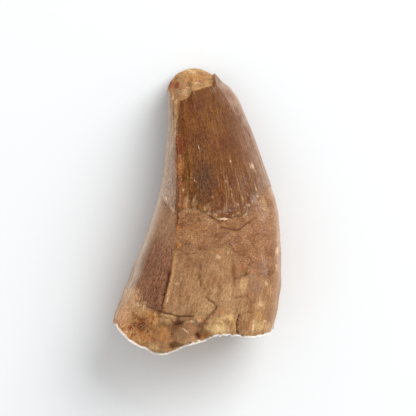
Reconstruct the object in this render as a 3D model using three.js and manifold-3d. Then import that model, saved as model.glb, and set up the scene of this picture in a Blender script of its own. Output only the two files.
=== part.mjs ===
import * as THREE from "three";
import { mergeVertices } from "three/addons/utils/BufferGeometryUtils.js";
import Module from "manifold-3d";

// A fossil mosasaur tooth, lying on its side: a curved crown whose tip has broken off, still on its root.
// Millimetres. +Y runs from the broken root to the broken tip, +X is the long convex edge, +Z is up.
// Crown and root grew as one piece, so the part is one solid and one mesh.

const { lerp, smoothstep } = THREE.MathUtils;

// ---- Driving dimensions ----

// Each row of STATIONS is a slice across the tooth at y, and MEASURES names its numbers. left and right are
// the slice's edges seen from above, and ridge is where the carina runs, or on the root the edge that carries
// on from it. The slice is highest at x = peak, at the height top, widest at the height waist, and lowest at
// x = keel, at the height bottom. back shapes its upper side: 2 is an ellipse, less is peaked and more is
// flat-topped.
const MEASURES = ["y", "left", "right", "ridge", "peak", "top", "waist", "keel", "bottom", "back"];
const STATIONS = [
  [-34, -20.5, 13.0, -9.8, -1.5, 16.5, 9.6, -1.5, 4.2, 2.1],
  [-30, -19.4, 14.4, -9.2, -0.5, 19.6, 10.2, 0.2, 1.2, 2.2],
  [-25, -18.15, 16.0, -8.4, 1.0, 22.2, 10.6, 1.4, -0.3, 2.4],
  [-20, -16.6, 17.0, -7.1, 1.8, 23.0, 10.8, 1.8, -0.5, 2.4],
  [-15, -14.6, 17.6, -5.6, 2.2, 22.8, 10.6, 2.2, -0.5, 2.4],
  [-10, -12.5, 17.65, -4.7, 2.3, 22.2, 10.3, 2.4, -0.5, 2.3],
  [-5, -10.45, 17.5, -4.2, 2.0, 21.4, 10.0, 2.8, -0.45, 2.15],
  [0, -8.65, 16.9, -3.9, 1.5, 20.2, 9.6, 3.2, -0.15, 1.95],
  [5, -7.2, 15.5, -3.6, 0.3, 18.6, 9.0, 3.4, 0.4, 1.8],
  [10, -6.6, 14.0, -3.8, -0.8, 16.8, 8.2, 3.0, 0.8, 1.7],
  [15, -6.15, 12.2, -4.0, -1.8, 14.9, 7.4, 2.2, 0.9, 1.6],
  [20, -5.95, 9.95, -4.1, -2.5, 12.8, 6.5, 1.0, 0.7, 1.55],
  [24, -6.0, 8.3, -4.3, -3.0, 11.0, 5.7, 0.0, 0.6, 1.5],
  [26, -6.0, 7.1, -4.3, -3.05, 10.1, 5.35, -0.45, 0.65, 1.48],
  [28, -5.8, 4.9, -4.3, -3.1, 9.2, 5.0, -0.9, 0.7, 1.45],
  [34, -4.4, 0.8, -3.9, -3.0, 6.2, 3.6, -1.8, 1.1, 1.5],
];
const BELLY = 2.3; // shapes every slice's underside, as back does its upper side

// The carina is a crest along the ridge, with a second one down the right edge of the crown.
const CARINA = { rise: 0.75, rootRise: 0.2, flank: 0.8, fadesFrom: 3, fadesTo: -8 };
const SECOND_CARINA = { rise: 0.45, flank: 0.7, above: 2.6, fadesFrom: 17, fadesTo: 9 };

// Enamel covers the crown and ends in a step. The edge runs through these points on the upper side.
const ENAMEL_EDGE = [
  [-7.8, 4.2], [-4.3, -0.1], [-2.8, 0.6], [-0.4, 0.7], [1.9, 0.1], [3.9, -1.3], [5.9, -1.7], [7.6, -1.1],
  [10.1, -0.5], [11.5, 0.5], [12.7, 2.4], [13.8, 4.2], [15.4, 5.7],
];
const ENAMEL = { step: 0.38, sideStep: 0.12, thins: 9, undersideSag: 3.2, lip: 0.35 };

// The tip is broken on a slanting, slightly hollow face: y = at + perX * x - perZ * z.
const TIP_BREAK = { at: 30.7, perX: 0.16, perZ: 0.65, hollow: 0.35 };

// The root is snapped off along this ragged edge, and its broken end is a shallow hollow.
const BASE_EDGE = [
  [-18.5, -22.6], [-17.5, -23.1], [-16.3, -24.1], [-15, -25.5], [-13.8, -27], [-12.3, -27.8], [-10, -28.2],
  [-8.7, -29.1], [-7.2, -29.7], [-6.1, -29.5], [-4.9, -28.9], [-2.5, -28.2], [-1.2, -27.3], [0.8, -26.9],
  [2.6, -26.4], [3.9, -25.4], [6, -25.1], [8.8, -25.6], [11.3, -25.9], [13.8, -25.8], [15.1, -25.5],
  [16.3, -24.2],
];
// Inside its rim the broken end follows this smoother line.
const BASE_TREND = [
  [-18.5, -23], [-13, -25.9], [-7, -27.8], [0, -26.1], [6, -24.5], [16.5, -24],
];
const BASE_HOLLOW = { x: 0.5, z: 10, wide: 7.5, tall: 4.5, deep: 3.2, rim: 0.66 };

// On the root's upper side the outer layer has flaked away below this edge. The ridge there is a low cliff.
const LAYER_EDGE = [
  [-16.5, -14.4], [-14.4, -15.2], [-13.4, -16.6], [-11.9, -18.9], [-10.2, -19.8], [-7.3, -21], [-5.2, -21.6],
  [-3.8, -22.7], [-2.1, -22.1], [-0.4, -21.8], [0.6, -22.7], [1.7, -23.9], [3.1, -24.9], [4.2, -27],
];
const LAYER = { thickness: 0.6, slope: 0.5 };
const CLIFF = { drop: 0.5, starts: -8, full: -13 };

const FACES_UP = 0.3; // the upper side's forms fade out where its slope turns steeper than this

// Low swellings and dents on the upper side: [x, y, radius, height].
const SWELLINGS = [
  [-12, -23.2, 2.4, -0.6],
  [-13.9, -17, 1.6, 0.35],
  [8.8, -18.5, 3.4, 0.3],
  [8, -11, 3, -0.25],
  [12.5, -13, 3.2, 0.3],
  [1, -14, 4, 0.25],
  [-10.6, -27.2, 1.8, 0.4],
];

// Lumps near the broken edge, each a low dome: [x, y, radius across, radius along, height].
const DOMES = [
  [-2.5, -25.1, 2.5, 2.3, 1.1],
  [-7.3, -26.6, 2.6, 2.7, 0.9],
  [4.7, -24.1, 2.5, 1.8, 0.3],
  [10.3, -23.5, 1.35, 2.7, 0.3],
];

// Pockets where bits have dropped out of the broken edge: a centre, three radii and a turn about Z.
const POCKETS = [
  { at: [1.4, -25.6, 21.0], radii: [1.5, 0.9, 1.8], turn: 0.2 },
  { at: [-4.4, -27.9, 19.4], radii: [1.1, 0.6, 2.0], turn: -0.1 },
];

// The mesh: columns run the tooth's length and rows run round it.
const COLUMNS = { face: 22, under: 20, side: 12 };
const ROWS = { crown: 23, root: 27 };
const TIP_RINGS = [0.9, 0.68, 0.42, 0.2];
const BASE_RINGS = [0.97, 0.9, 0.81, 0.7, 0.56, 0.42, 0.28, 0.14];

// ---- Curves through the named values ----

// The value at x of a smooth curve through points [x, value], which rise in x.
function through(points, x) {
  const last = points.length - 1;
  if (x <= points[0][0]) return points[0][1];
  if (x >= points[last][0]) return points[last][1];
  const i = points.findIndex(([px]) => px > x) - 1;
  const slope = (k) => {
    const [before, after] = [points[Math.max(k - 1, 0)], points[Math.min(k + 1, last)]];
    return (after[1] - before[1]) / (after[0] - before[0]);
  };
  const width = points[i + 1][0] - points[i][0];
  const t = (x - points[i][0]) / width;
  return (
    points[i][1] * (1 + 2 * t) * (1 - t) ** 2 +
    points[i + 1][1] * (3 - 2 * t) * t ** 2 +
    width * t * (1 - t) * (slope(i) * (1 - t) - slope(i + 1) * t)
  );
}

const CURVES = {};
for (const [k, name] of MEASURES.entries()) CURVES[name] = STATIONS.map((row) => [row[0], row[k]]);

function sliceAt(y) {
  const slice = {};
  for (const key in CURVES) slice[key] = through(CURVES[key], y);
  return slice;
}

// ---- The slice's outline ----

// Columns count from the ridge over the upper face, the underside and the left side, back to the ridge.
const ROUND = COLUMNS.face + COLUMNS.under + COLUMNS.side;

// A column's angle round the slice: 0 at the right edge, PI at the left edge, and below zero underneath.
function angleOf(column, s) {
  const reach = Math.min(Math.max((s.peak - s.ridge) / (s.peak - s.left), 0), 1);
  const ridge = Math.PI - Math.acos(reach ** (s.back / 2));
  if (column <= COLUMNS.face) return lerp(ridge, 0, column / COLUMNS.face);
  if (column <= COLUMNS.face + COLUMNS.under) return (-Math.PI * (column - COLUMNS.face)) / COLUMNS.under;
  return lerp(-Math.PI, ridge - 2 * Math.PI, (column - COLUMNS.face - COLUMNS.under) / COLUMNS.side);
}

// The smooth slice's point at an angle, and the direction that faces out of it.
function outline(s, angle) {
  const [across, up] = [Math.cos(angle), Math.sin(angle)];
  const upper = up >= 0;
  const middle = upper ? s.peak : s.keel;
  const wide = across >= 0 ? s.right - middle : middle - s.left;
  const tall = upper ? s.top - s.waist : s.waist - s.bottom;
  const power = upper ? s.back : BELLY;
  const x = middle + Math.sign(across) * wide * Math.abs(across) ** (2 / power);
  const z = s.waist + tall * up;
  const share = Math.abs(x - middle) / wide;
  const out = new THREE.Vector2((Math.sign(across) * power * share ** (power - 1)) / wide, (2 * up) / tall);
  return { x, z, upper, out: out.normalize() };
}

// ---- Edges that cross the tooth ----

function enamelEdge(p, s) {
  if (p.upper) return through(ENAMEL_EDGE, p.x);
  const across = (p.x - s.left) / (s.right - s.left);
  const [first, last] = [ENAMEL_EDGE[0][1], ENAMEL_EDGE.at(-1)[1]];
  return lerp(first, last, across) - ENAMEL.undersideSag * Math.sin(Math.PI * across);
}

const tipEdge = (p) => TIP_BREAK.at + TIP_BREAK.perX * p.x - TIP_BREAK.perZ * p.z;

// Underneath, the break keeps the same outline, with raggedness of its own.
function baseEdge(p) {
  const ragged = 0.5 * Math.sin(0.9 * p.x + 2) + 0.3 * Math.sin(1.7 * p.x) + 0.25 * Math.sin(0.9 * p.z);
  const depth = smoothstep(p.z, 8, 16);
  return through(BASE_EDGE, p.x) + (1 - depth) * (0.9 + ragged);
}

// Follows a column down the tooth to where it meets an edge.
function meets(column, edge, start) {
  let y = start;
  for (let i = 0; i < 24; i++) {
    const s = sliceAt(y);
    y = lerp(y, edge(outline(s, angleOf(column, s)), s), 0.5);
  }
  return y;
}

// ---- Relief on the smooth form ----

function crest(distance, rise, flank) {
  return rise * Math.exp(-distance / flank);
}

function relief(p, s, y, edgeY) {
  const ridge = outline(s, angleOf(0, s));
  const fromRidge = Math.hypot(p.x - ridge.x, p.z - ridge.z);
  const rise = lerp(CARINA.rootRise, CARINA.rise, smoothstep(y, CARINA.fadesTo, CARINA.fadesFrom));
  let out = crest(fromRidge, rise, CARINA.flank);

  const second = SECOND_CARINA.rise * smoothstep(y, SECOND_CARINA.fadesTo, SECOND_CARINA.fadesFrom);
  if (p.upper && p.x > s.peak) {
    out += crest(Math.abs(p.z - s.waist - SECOND_CARINA.above), second, SECOND_CARINA.flank);
  }

  const step = lerp(ENAMEL.sideStep, ENAMEL.step, Math.max(p.out.y, 0) ** 2);
  if (y >= edgeY) out += step * Math.exp((edgeY - y) / ENAMEL.thins);

  if (p.upper) {
    const below = smoothstep(through(LAYER_EDGE, p.x) - y, 0, LAYER.slope);
    const flaked = p.x < LAYER_EDGE.at(-1)[0] ? below : 0;
    let form = -LAYER.thickness * flaked;
    if (p.x < s.ridge - 0.05) form -= CLIFF.drop * smoothstep(-y, -CLIFF.starts, -CLIFF.full) * (1 - flaked);
    for (const [x, cy, radius, height] of SWELLINGS) {
      form += height * Math.exp(-(((p.x - x) / radius) ** 2) - ((y - cy) / radius) ** 2);
    }
    for (const [x, cy, across, along, height] of DOMES) {
      const spread = ((p.x - x) / across) ** 2 + ((y - cy) / along) ** 2;
      form += height * Math.sqrt(Math.max(1 - spread, 0));
    }
    out += form * smoothstep(p.out.y, 0, FACES_UP);
  }
  const uneven = smoothstep(-y, -4, 12);
  out += uneven * 0.16 * Math.sin(0.55 * p.x + 0.35 * y) * Math.sin(0.7 * y - 0.4 * p.z + 1);
  return out;
}

// ---- The mesh ----

function skinPoint(column, y, edgeY) {
  const s = sliceAt(y);
  const p = outline(s, angleOf(column, s));
  const out = relief(p, s, y, edgeY);
  return new THREE.Vector3(p.x + p.out.x * out, y, p.z + p.out.y * out);
}

// One column of points from the tip's rim to the root's rim, with two rows at the enamel's step.
function columnOf(column) {
  const tip = meets(column, tipEdge, 27);
  const enamel = meets(column, enamelEdge, 1);
  const base = meets(column, baseEdge, -26);
  const points = [];
  for (let i = 0; i <= ROWS.crown; i++) {
    points.push(skinPoint(column, lerp(tip, enamel, i / ROWS.crown), enamel));
  }
  for (let i = 0; i <= ROWS.root; i++) {
    points.push(skinPoint(column, lerp(enamel - ENAMEL.lip, base, i / ROWS.root), enamel));
  }
  return points;
}

// Closes an end with rings that shrink from the rim to a middle point. surface gives their y.
function capRings(rim, middle, sizes, surface) {
  return sizes.map((size) =>
    rim.map((r) => {
      const x = lerp(middle.x, r.x, size);
      const z = lerp(middle.z, r.z, size);
      return new THREE.Vector3(x, surface(x, z, r.y, size), z);
    }),
  );
}

function tipSurface(x, z, rimY, size) {
  const rough = 0.12 * Math.sin(2.1 * x + 1) * Math.sin(1.7 * z);
  const plane = TIP_BREAK.at + TIP_BREAK.perX * x - TIP_BREAK.perZ * z;
  return lerp(plane - TIP_BREAK.hollow + rough, rimY, smoothstep(size, 0.4, 1));
}

function baseSurface(x, z, rimY, size) {
  const h = BASE_HOLLOW;
  const away = Math.hypot((x - h.x) / h.wide, (z - h.z) / h.tall);
  const rough = 0.3 * Math.sin(0.9 * x + 0.6 * z) + 0.2 * Math.sin(1.3 * x - 0.9 * z + 2);
  const broken = through(BASE_TREND, x) + h.deep * Math.exp(-(away ** 2)) + rough;
  return lerp(broken, rimY, smoothstep(size, h.rim, 1));
}

function toothGeometry() {
  const columns = [];
  for (let column = 0; column < ROUND; column++) columns.push(columnOf(column));
  const skinRows = columns[0].map((_, row) => columns.map((points) => points[row]));
  const middleOf = (ring) => ring.reduce((sum, p) => sum.add(p), new THREE.Vector3()).divideScalar(ROUND);

  const tipMiddle = middleOf(skinRows[0]);
  const baseMiddle = middleOf(skinRows.at(-1));
  const tipCap = capRings(skinRows[0], tipMiddle, TIP_RINGS, tipSurface).reverse();
  const baseCap = capRings(skinRows.at(-1), baseMiddle, BASE_RINGS, baseSurface);
  const rows = [...tipCap, ...skinRows, ...baseCap];
  tipMiddle.y = tipSurface(tipMiddle.x, tipMiddle.z, tipMiddle.y, 0);
  baseMiddle.y = baseSurface(baseMiddle.x, baseMiddle.z, baseMiddle.y, 0);

  const points = [tipMiddle, ...rows.flat(), baseMiddle];
  const at = (row, column) => 1 + row * ROUND + (column % ROUND);
  const faces = [];
  for (let c = 0; c < ROUND; c++) {
    faces.push(0, at(0, c), at(0, c + 1));
    for (let r = 0; r < rows.length - 1; r++) {
      faces.push(at(r, c), at(r + 1, c), at(r, c + 1));
      faces.push(at(r, c + 1), at(r + 1, c), at(r + 1, c + 1));
    }
    faces.push(at(rows.length - 1, c), points.length - 1, at(rows.length - 1, c + 1));
  }
  const geometry = new THREE.BufferGeometry().setFromPoints(points);
  geometry.setIndex(faces);
  return geometry;
}

// ---- Cuts ----

const wasm = await Module();
wasm.setup();

function solidFrom(geometry) {
  const bare = geometry.clone();
  bare.deleteAttribute("normal");
  bare.deleteAttribute("uv");
  const merged = mergeVertices(bare, 1e-4);
  return new wasm.Manifold(
    new wasm.Mesh({
      numProp: 3,
      vertProperties: new Float32Array(merged.attributes.position.array),
      triVerts: new Uint32Array(merged.index.array),
    }),
  );
}

function geometryFrom(solid) {
  const mesh = solid.getMesh();
  const geometry = new THREE.BufferGeometry();
  geometry.setAttribute("position", new THREE.BufferAttribute(mesh.vertProperties, 3));
  geometry.setIndex(new THREE.BufferAttribute(mesh.triVerts, 1));
  geometry.computeVertexNormals();
  return geometry;
}

function pocket({ at, radii, turn }) {
  const ball = new THREE.IcosahedronGeometry(1, 1);
  ball.scale(...radii).rotateZ(turn).translate(...at);
  return solidFrom(ball);
}

// The tooth rests on a worn flat, cut by the plane z = 0.
function belowFloor() {
  const depth = 10;
  return solidFrom(new THREE.BoxGeometry(100, 100, depth).translate(0, 0, -depth / 2));
}

let tooth = solidFrom(toothGeometry());
for (const hole of POCKETS) tooth = tooth.subtract(pocket(hole));
tooth = tooth.subtract(belowFloor());

// The origin is under the middle of the tooth's box.
const geometry = geometryFrom(tooth);
geometry.computeBoundingBox();
const middle = geometry.boundingBox.getCenter(new THREE.Vector3());
geometry.translate(-middle.x, -middle.y, 0);

const fossil = new THREE.MeshStandardMaterial({ color: 0x9a6a42, roughness: 0.5, metalness: 0 });
const mesh = new THREE.Mesh(geometry, fossil);
mesh.name = "tooth";

const group = new THREE.Group();
group.add(mesh);

export default group;
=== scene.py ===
# %% [markdown]
# # A fossil mosasaur tooth
# The real thing is a curved reptile tooth turned to stone. A brown enamel crown with a broken tip stands on
# a swollen root that snapped off from the jaw. It grew in one piece, so it is modelled as one mesh.
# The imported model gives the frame: the tooth lies along +Y on the surface z = 0, with its tip at +Y.

import bmesh
import bpy
import numpy as np
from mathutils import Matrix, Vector, noise


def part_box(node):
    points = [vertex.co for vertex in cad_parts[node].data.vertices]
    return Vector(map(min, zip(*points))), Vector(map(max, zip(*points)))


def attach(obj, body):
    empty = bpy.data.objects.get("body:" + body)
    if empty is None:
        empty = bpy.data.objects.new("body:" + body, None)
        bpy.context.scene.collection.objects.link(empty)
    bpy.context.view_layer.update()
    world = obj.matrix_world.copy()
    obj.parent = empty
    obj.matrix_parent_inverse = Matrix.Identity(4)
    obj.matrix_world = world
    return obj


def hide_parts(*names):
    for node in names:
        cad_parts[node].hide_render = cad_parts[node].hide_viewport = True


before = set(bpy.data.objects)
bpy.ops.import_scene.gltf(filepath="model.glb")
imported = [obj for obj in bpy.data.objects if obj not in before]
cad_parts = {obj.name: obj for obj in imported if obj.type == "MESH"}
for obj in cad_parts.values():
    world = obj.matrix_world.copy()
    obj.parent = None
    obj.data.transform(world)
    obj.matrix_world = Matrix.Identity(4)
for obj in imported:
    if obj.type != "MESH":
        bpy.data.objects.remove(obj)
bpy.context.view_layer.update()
low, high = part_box("tooth")
LENGTH = 59.73  # the tooth's length, in the unit that every size below is given in
MM = (high.y - low.y) / LENGTH
print("one unit is", round(MM * 1000, 4), "mm")

# %% [markdown]
# ## The slices
# A tooth is measured best in slices across its length, as a bread loaf would be. Each slice gets its two
# edges seen from above, the ridge where the cutting edge runs, and the heights of its top, widest part and
# bottom. A smooth curve through each column of numbers then gives a slice anywhere. The same slices are in
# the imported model, which keeps both shapes the same size.

# %% Slices along the tooth
# peak and keel: x of the slice's highest and lowest points. back: how full its upper half is, 2 for an oval
MEASURES = ["y", "left", "right", "ridge", "peak", "top", "waist", "keel", "bottom", "back"]
STATIONS = np.array([
    [-34, -20.5, 13.0, -9.8, -1.5, 16.5, 9.6, -1.5, 4.2, 2.1],
    [-30, -19.4, 14.4, -9.2, -0.5, 19.6, 10.2, 0.2, 1.2, 2.2],
    [-25, -18.15, 16.0, -8.4, 1.0, 22.2, 10.6, 1.4, -0.3, 2.4],
    [-20, -16.6, 17.0, -7.1, 1.8, 23.0, 10.8, 1.8, -0.5, 2.4],
    [-15, -14.6, 17.6, -5.6, 2.2, 22.8, 10.6, 2.2, -0.5, 2.4],
    [-10, -12.5, 17.65, -4.7, 2.3, 22.2, 10.3, 2.4, -0.5, 2.3],
    [-5, -10.45, 17.5, -4.2, 2.0, 21.4, 10.0, 2.8, -0.45, 2.15],
    [0, -8.65, 16.9, -3.9, 1.5, 20.2, 9.6, 3.2, -0.15, 1.95],
    [5, -7.2, 15.5, -3.6, 0.3, 18.6, 9.0, 3.4, 0.4, 1.8],
    [10, -6.6, 14.0, -3.8, -0.8, 16.8, 8.2, 3.0, 0.8, 1.7],
    [15, -6.15, 12.2, -4.0, -1.8, 14.9, 7.4, 2.2, 0.9, 1.6],
    [20, -5.95, 9.95, -4.1, -2.5, 12.8, 6.5, 1.0, 0.7, 1.55],
    [24, -6.0, 8.3, -4.3, -3.0, 11.0, 5.7, 0.0, 0.6, 1.5],
    [26, -6.0, 7.1, -4.3, -3.05, 10.1, 5.35, -0.45, 0.65, 1.48],
    [28, -5.8, 4.9, -4.3, -3.1, 9.2, 5.0, -0.9, 0.7, 1.45],
    [34, -4.4, 0.8, -3.9, -3.0, 6.2, 3.6, -1.8, 1.1, 1.5],
])
BELLY = 2.3  # how full the lower half of every slice is


def through(points, x):
    """The value at x of a smooth curve through rows of (x, value)."""
    points = np.asarray(points, float)
    px, pv = points[:, 0], points[:, 1]
    slopes = np.empty_like(pv)
    slopes[1:-1] = (pv[2:] - pv[:-2]) / (px[2:] - px[:-2])
    slopes[0] = (pv[1] - pv[0]) / (px[1] - px[0])
    slopes[-1] = (pv[-1] - pv[-2]) / (px[-1] - px[-2])
    x = np.clip(x, px[0], px[-1])
    i = np.clip(np.searchsorted(px, x, side="right") - 1, 0, len(px) - 2)
    width = px[i + 1] - px[i]
    t = (x - px[i]) / width
    ends = pv[i] * (1 + 2 * t) * (1 - t) ** 2 + pv[i + 1] * (3 - 2 * t) * t**2
    return ends + width * t * (1 - t) * (slopes[i] * (1 - t) - slopes[i + 1] * t)


def slice_at(y):
    return {name: through(STATIONS[:, [0, k]], y) for k, name in enumerate(MEASURES)}


def smooth(value, low_edge, high_edge):
    """0 below low_edge, 1 above high_edge, and an S between."""
    t = np.clip((value - low_edge) / (high_edge - low_edge), 0, 1)
    return t * t * (3 - 2 * t)


print("slices:", len(STATIONS))

# %% [markdown]
# ## The edges that cross it
# Three lines cross the tooth: the slanting break at the tip, the wavy edge where the enamel ends, and the
# ragged break at the root. The cage's rings follow them, so that its edges lie where the real edges are.

# %% The three edges
ENAMEL_EDGE = [
    (-7.8, 4.2), (-4.3, -0.1), (-2.8, 0.6), (-0.4, 0.7), (1.9, 0.1), (3.9, -1.3), (5.9, -1.7), (7.6, -1.1),
    (10.1, -0.5), (11.5, 0.5), (12.7, 2.4), (13.8, 4.2), (15.4, 5.7),
]
BASE_EDGE = [
    (-18.5, -22.6), (-17.5, -23.1), (-16.3, -24.1), (-15, -25.5), (-13.8, -27), (-12.3, -27.8),
    (-10, -28.2), (-8.7, -29.1), (-7.2, -29.7), (-6.1, -29.5), (-4.9, -28.9), (-2.5, -28.2), (-1.2, -27.3),
    (0.8, -26.9), (2.6, -26.4), (3.9, -25.4), (6, -25.1), (8.8, -25.6), (11.3, -25.9), (13.8, -25.8),
    (15.1, -25.5), (16.3, -24.2),
]
BASE_TREND = [(-18.5, -23), (-13, -25.9), (-7, -27.8), (0, -26.1), (6, -24.5), (16.5, -24)]  # inside its rim
HOLLOW_DEPTH = 3.2
UNDERSIDE_SAG = 3.2  # how far the enamel dips towards the root underneath


def tip_edge(x, z):
    return 30.7 + 0.16 * x - 0.65 * z


def enamel_edge(x, z, s):
    across = np.clip((x - s["left"]) / (s["right"] - s["left"]), 0, 1)
    under = ENAMEL_EDGE[0][1] * (1 - across) + ENAMEL_EDGE[-1][1] * across
    under = under - UNDERSIDE_SAG * np.sin(np.pi * across)
    side = smooth(z - s["waist"], -1, 0.5)
    return side * through(ENAMEL_EDGE, x) + (1 - side) * under


def base_edge(x, z):
    lower = 1 - smooth(z, 8, 16)
    ragged = 0.5 * np.sin(0.9 * x + 2) + 0.3 * np.sin(1.7 * x) + 0.25 * np.sin(0.9 * z)
    return through(BASE_EDGE, x) + lower * (0.9 + ragged)


def base_hollow(x, z):
    """1 in the middle of the shallow pulp hollow in the broken end, falling to 0 round it."""
    return np.exp(-(((x - 0.5) / 7.5) ** 2) - ((z - 10) / 4.5) ** 2)


def base_face(x, z):
    rough_face = 0.3 * np.sin(0.9 * x + 0.6 * z) + 0.2 * np.sin(1.3 * x - 0.9 * z + 2)
    return through(BASE_TREND, x) + HOLLOW_DEPTH * base_hollow(x, z) + rough_face


print("enamel ends between", min(p[1] for p in ENAMEL_EDGE), "and", max(p[1] for p in ENAMEL_EDGE))

# %% [markdown]
# ## The cage
# A long closed form like this one starts as a circle, which is extruded ring after ring along the tooth.
# Every new ring is laid on its slice. Carving a tall cylinder would give the same form, but then the edges
# would cross the mesh at random. The columns run from root to tip, as the real tooth's grain does.

# %% Lay out the columns
FACE, UNDER, SIDE = 17, 10, 7  # columns on the upper face, the underside and the left side
COLUMNS = FACE + UNDER + SIDE
CROWN_RINGS, ROOT_RINGS = 17, 18
STEPS = 24  # enough halvings to find where a line meets an edge
# Subdividing rounds off a cage's sharp sides and draws them in, so the cage starts wider: (y, extra)
EXTRA_RIGHT = [
    (-26, 0.08), (-20, 0.12), (-14, 0.25), (-9, 0.3), (-5, 0.3), (-2.2, 0.25), (0.3, 0.5), (3, 0.62),
    (6, 0.4), (12, 0.33), (15, 0.46), (19, 0.7), (22.7, 0.7), (25.2, 0.6), (28, 0.4),
]
EXTRA_LEFT = [(-20, 0), (-6, 0.02), (-2, 0.14), (4, 0.2), (8, 0.08), (12, 0.1), (18, 0), (30, 0)]


def column_angle(column, s):
    """A column's angle round the slice: 0 at the right edge, pi at the left edge."""
    reach = np.clip((s["peak"] - s["ridge"]) / (s["peak"] - s["left"]), 0, 1)
    ridge = np.pi - np.arccos(reach ** (s["back"] / 2))
    if column <= FACE:
        return ridge * (1 - column / FACE)
    if column <= FACE + UNDER:
        return -np.pi * (column - FACE) / UNDER
    return -np.pi + (ridge - np.pi) * (column - FACE - UNDER) / SIDE


def on_slice(column, y):
    s = slice_at(y)
    angle = column_angle(column, s)
    across, up = np.cos(angle), np.sin(angle)
    middle = s["peak"] if up >= 0 else s["keel"]
    wide = s["right"] + through(EXTRA_RIGHT, y) - middle
    if across < 0:
        wide = middle - s["left"] + through(EXTRA_LEFT, y)
    tall = s["top"] - s["waist"] if up >= 0 else s["waist"] - s["bottom"]
    power = s["back"] if up >= 0 else BELLY
    x = middle + np.sign(across) * wide * abs(across) ** (2 / power)
    return x, s["waist"] + tall * up, s


def meets(column, edge, start):
    """The y at which a column meets an edge, found by stepping towards it from y = start."""
    y = start
    for _ in range(STEPS):
        x, z, s = on_slice(column, y)
        y = (y + float(edge(x, z, s))) / 2
    return y


def column_points(column):
    tip = meets(column, lambda x, z, s: tip_edge(x, z), 27)
    enamel = meets(column, enamel_edge, 1)
    base = meets(column, lambda x, z, s: base_edge(x, z), -26)
    crown_rows = np.linspace(tip, enamel, CROWN_RINGS + 1)
    root_rows = np.linspace(enamel, base, ROOT_RINGS + 1)[1:]
    places = []
    for y in np.concatenate([crown_rows, root_rows]):
        x, z, s = on_slice(column, y)
        places.append(Vector((x, y, z)) * MM)
    return places


rings = list(zip(*[column_points(column) for column in range(COLUMNS)]))
print("rings:", len(rings), "of", COLUMNS, "points")

# %% [markdown]
# An extrusion copies the selected ring and joins the copy to it by faces, as the E key does by hand. The
# copy's points are then set one by one. Each end is closed by smaller and smaller rings and a last face,
# and a crease keeps its rim sharp when the cage is rounded later.

# %% Tools for the rings
def open_mesh():
    mesh = bmesh.from_edit_mesh(bpy.context.object.data)
    mesh.verts.ensure_lookup_table()
    return mesh


def next_ring(ring, places):
    """Extrudes the selected ring once and lays the new ring's points on their places."""
    bpy.ops.mesh.extrude_edges_move()
    mesh = open_mesh()
    made = []
    for index, place in zip(ring, places):
        old = mesh.verts[index]
        new = next(e.other_vert(old) for e in old.link_edges if e.other_vert(old).select)
        new.co = place
        made.append(new.index)
    bmesh.update_edit_mesh(bpy.context.object.data)
    return made


def select_ring(ring):
    bpy.ops.mesh.select_all(action="DESELECT")
    mesh = open_mesh()
    for index in ring:
        mesh.verts[index].select = True
    mesh.select_flush(True)
    bmesh.update_edit_mesh(bpy.context.object.data)


def close_end(ring, places, sizes, sharp, face=None):
    """Closes an end with shrinking rings and a last face, and creases its rim. face gives the end's y."""
    select_ring(ring)
    bpy.ops.transform.edge_crease(value=sharp)
    middle = sum(places, Vector()) / len(places)
    for size in sizes:
        inner = [middle.lerp(p, size) for p in places]
        if face:
            share = float(1 - smooth(size, 0.66, 1))
            for p in inner:
                p.y += share * (float(face(p.x / MM, p.z / MM)) * MM - p.y)
        ring = next_ring(ring, inner)
    bpy.ops.mesh.edge_face_add()


# %% Extrude the rings
TIP_CAP, BASE_CAP = [0.86, 0.55, 0.24], [0.94, 0.8, 0.62, 0.45, 0.28, 0.12]  # sizes of the closing rings
bpy.ops.object.select_all(action="DESELECT")
bpy.ops.mesh.primitive_circle_add(vertices=COLUMNS, radius=6 * MM, location=(0, 0, 0))
tooth = bpy.context.object
tooth.name = "fossil_tooth"
bpy.ops.object.mode_set(mode="EDIT")
first = list(range(COLUMNS))
circle = open_mesh()
for index, place in zip(first, rings[0]):
    circle.verts[index].co = place
bmesh.update_edit_mesh(tooth.data)
bpy.ops.mesh.select_all(action="SELECT")
ring = first
for places in rings[1:]:
    ring = next_ring(ring, places)
close_end(ring, rings[-1], BASE_CAP, 0.8, base_face)
close_end(first, rings[0], TIP_CAP, 0.9)
bpy.ops.mesh.select_all(action="SELECT")
bpy.ops.mesh.normals_make_consistent(inside=False)
bpy.ops.object.mode_set(mode="OBJECT")
print("cage faces:", len(tooth.data.polygons))

# %% [markdown]
# ## The smooth form
# A Subdivision modifier rounds the cage and gives it enough points to carve. It is applied here, because
# the next steps carve the real points. Each level makes four times as many faces, so it stops at three.

# %% Round the cage
rounding = tooth.modifiers.new("rounding", "SUBSURF")
rounding.levels = rounding.render_levels = 3
bpy.ops.object.modifier_apply(modifier=rounding.name)
bpy.ops.object.shade_smooth()
print("points to carve:", len(tooth.data.vertices))

# %% [markdown]
# ## Carving by numbers
# Fine damage can't be extruded. A sculptor would push the surface in and out with brushes. Here each brush
# is a line of arithmetic over all the points at once, which gives the same tooth every time the script
# runs. Most brushes push points the way the smooth form faces, and noise keeps their edges from looking
# ruled.

# %% The carver's tools
TURNS = Vector((7.31, 3.17, 5.53))  # how far apart the noise of two seeds is taken


def read_points():
    flat = np.empty(len(tooth.data.vertices) * 3)
    tooth.data.vertices.foreach_get("co", flat)
    return flat.reshape(-1, 3) / MM


def read_normals():
    flat = np.empty(len(tooth.data.vertices) * 3)
    tooth.data.vertex_normals.foreach_get("vector", flat)
    return flat.reshape(-1, 3)


def survey():
    """The points as they are now, their normals, and the points' x, y and z."""
    points = read_points()
    return points, read_normals(), *points.T


def write_points(points):
    tooth.data.vertices.foreach_set("co", (points * MM).ravel())
    tooth.data.update()


start = read_points()
form = read_normals()  # which way the smooth form faces, before any damage
print("points span", start.min(0).round(2), "to", start.max(0).round(2))


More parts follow.
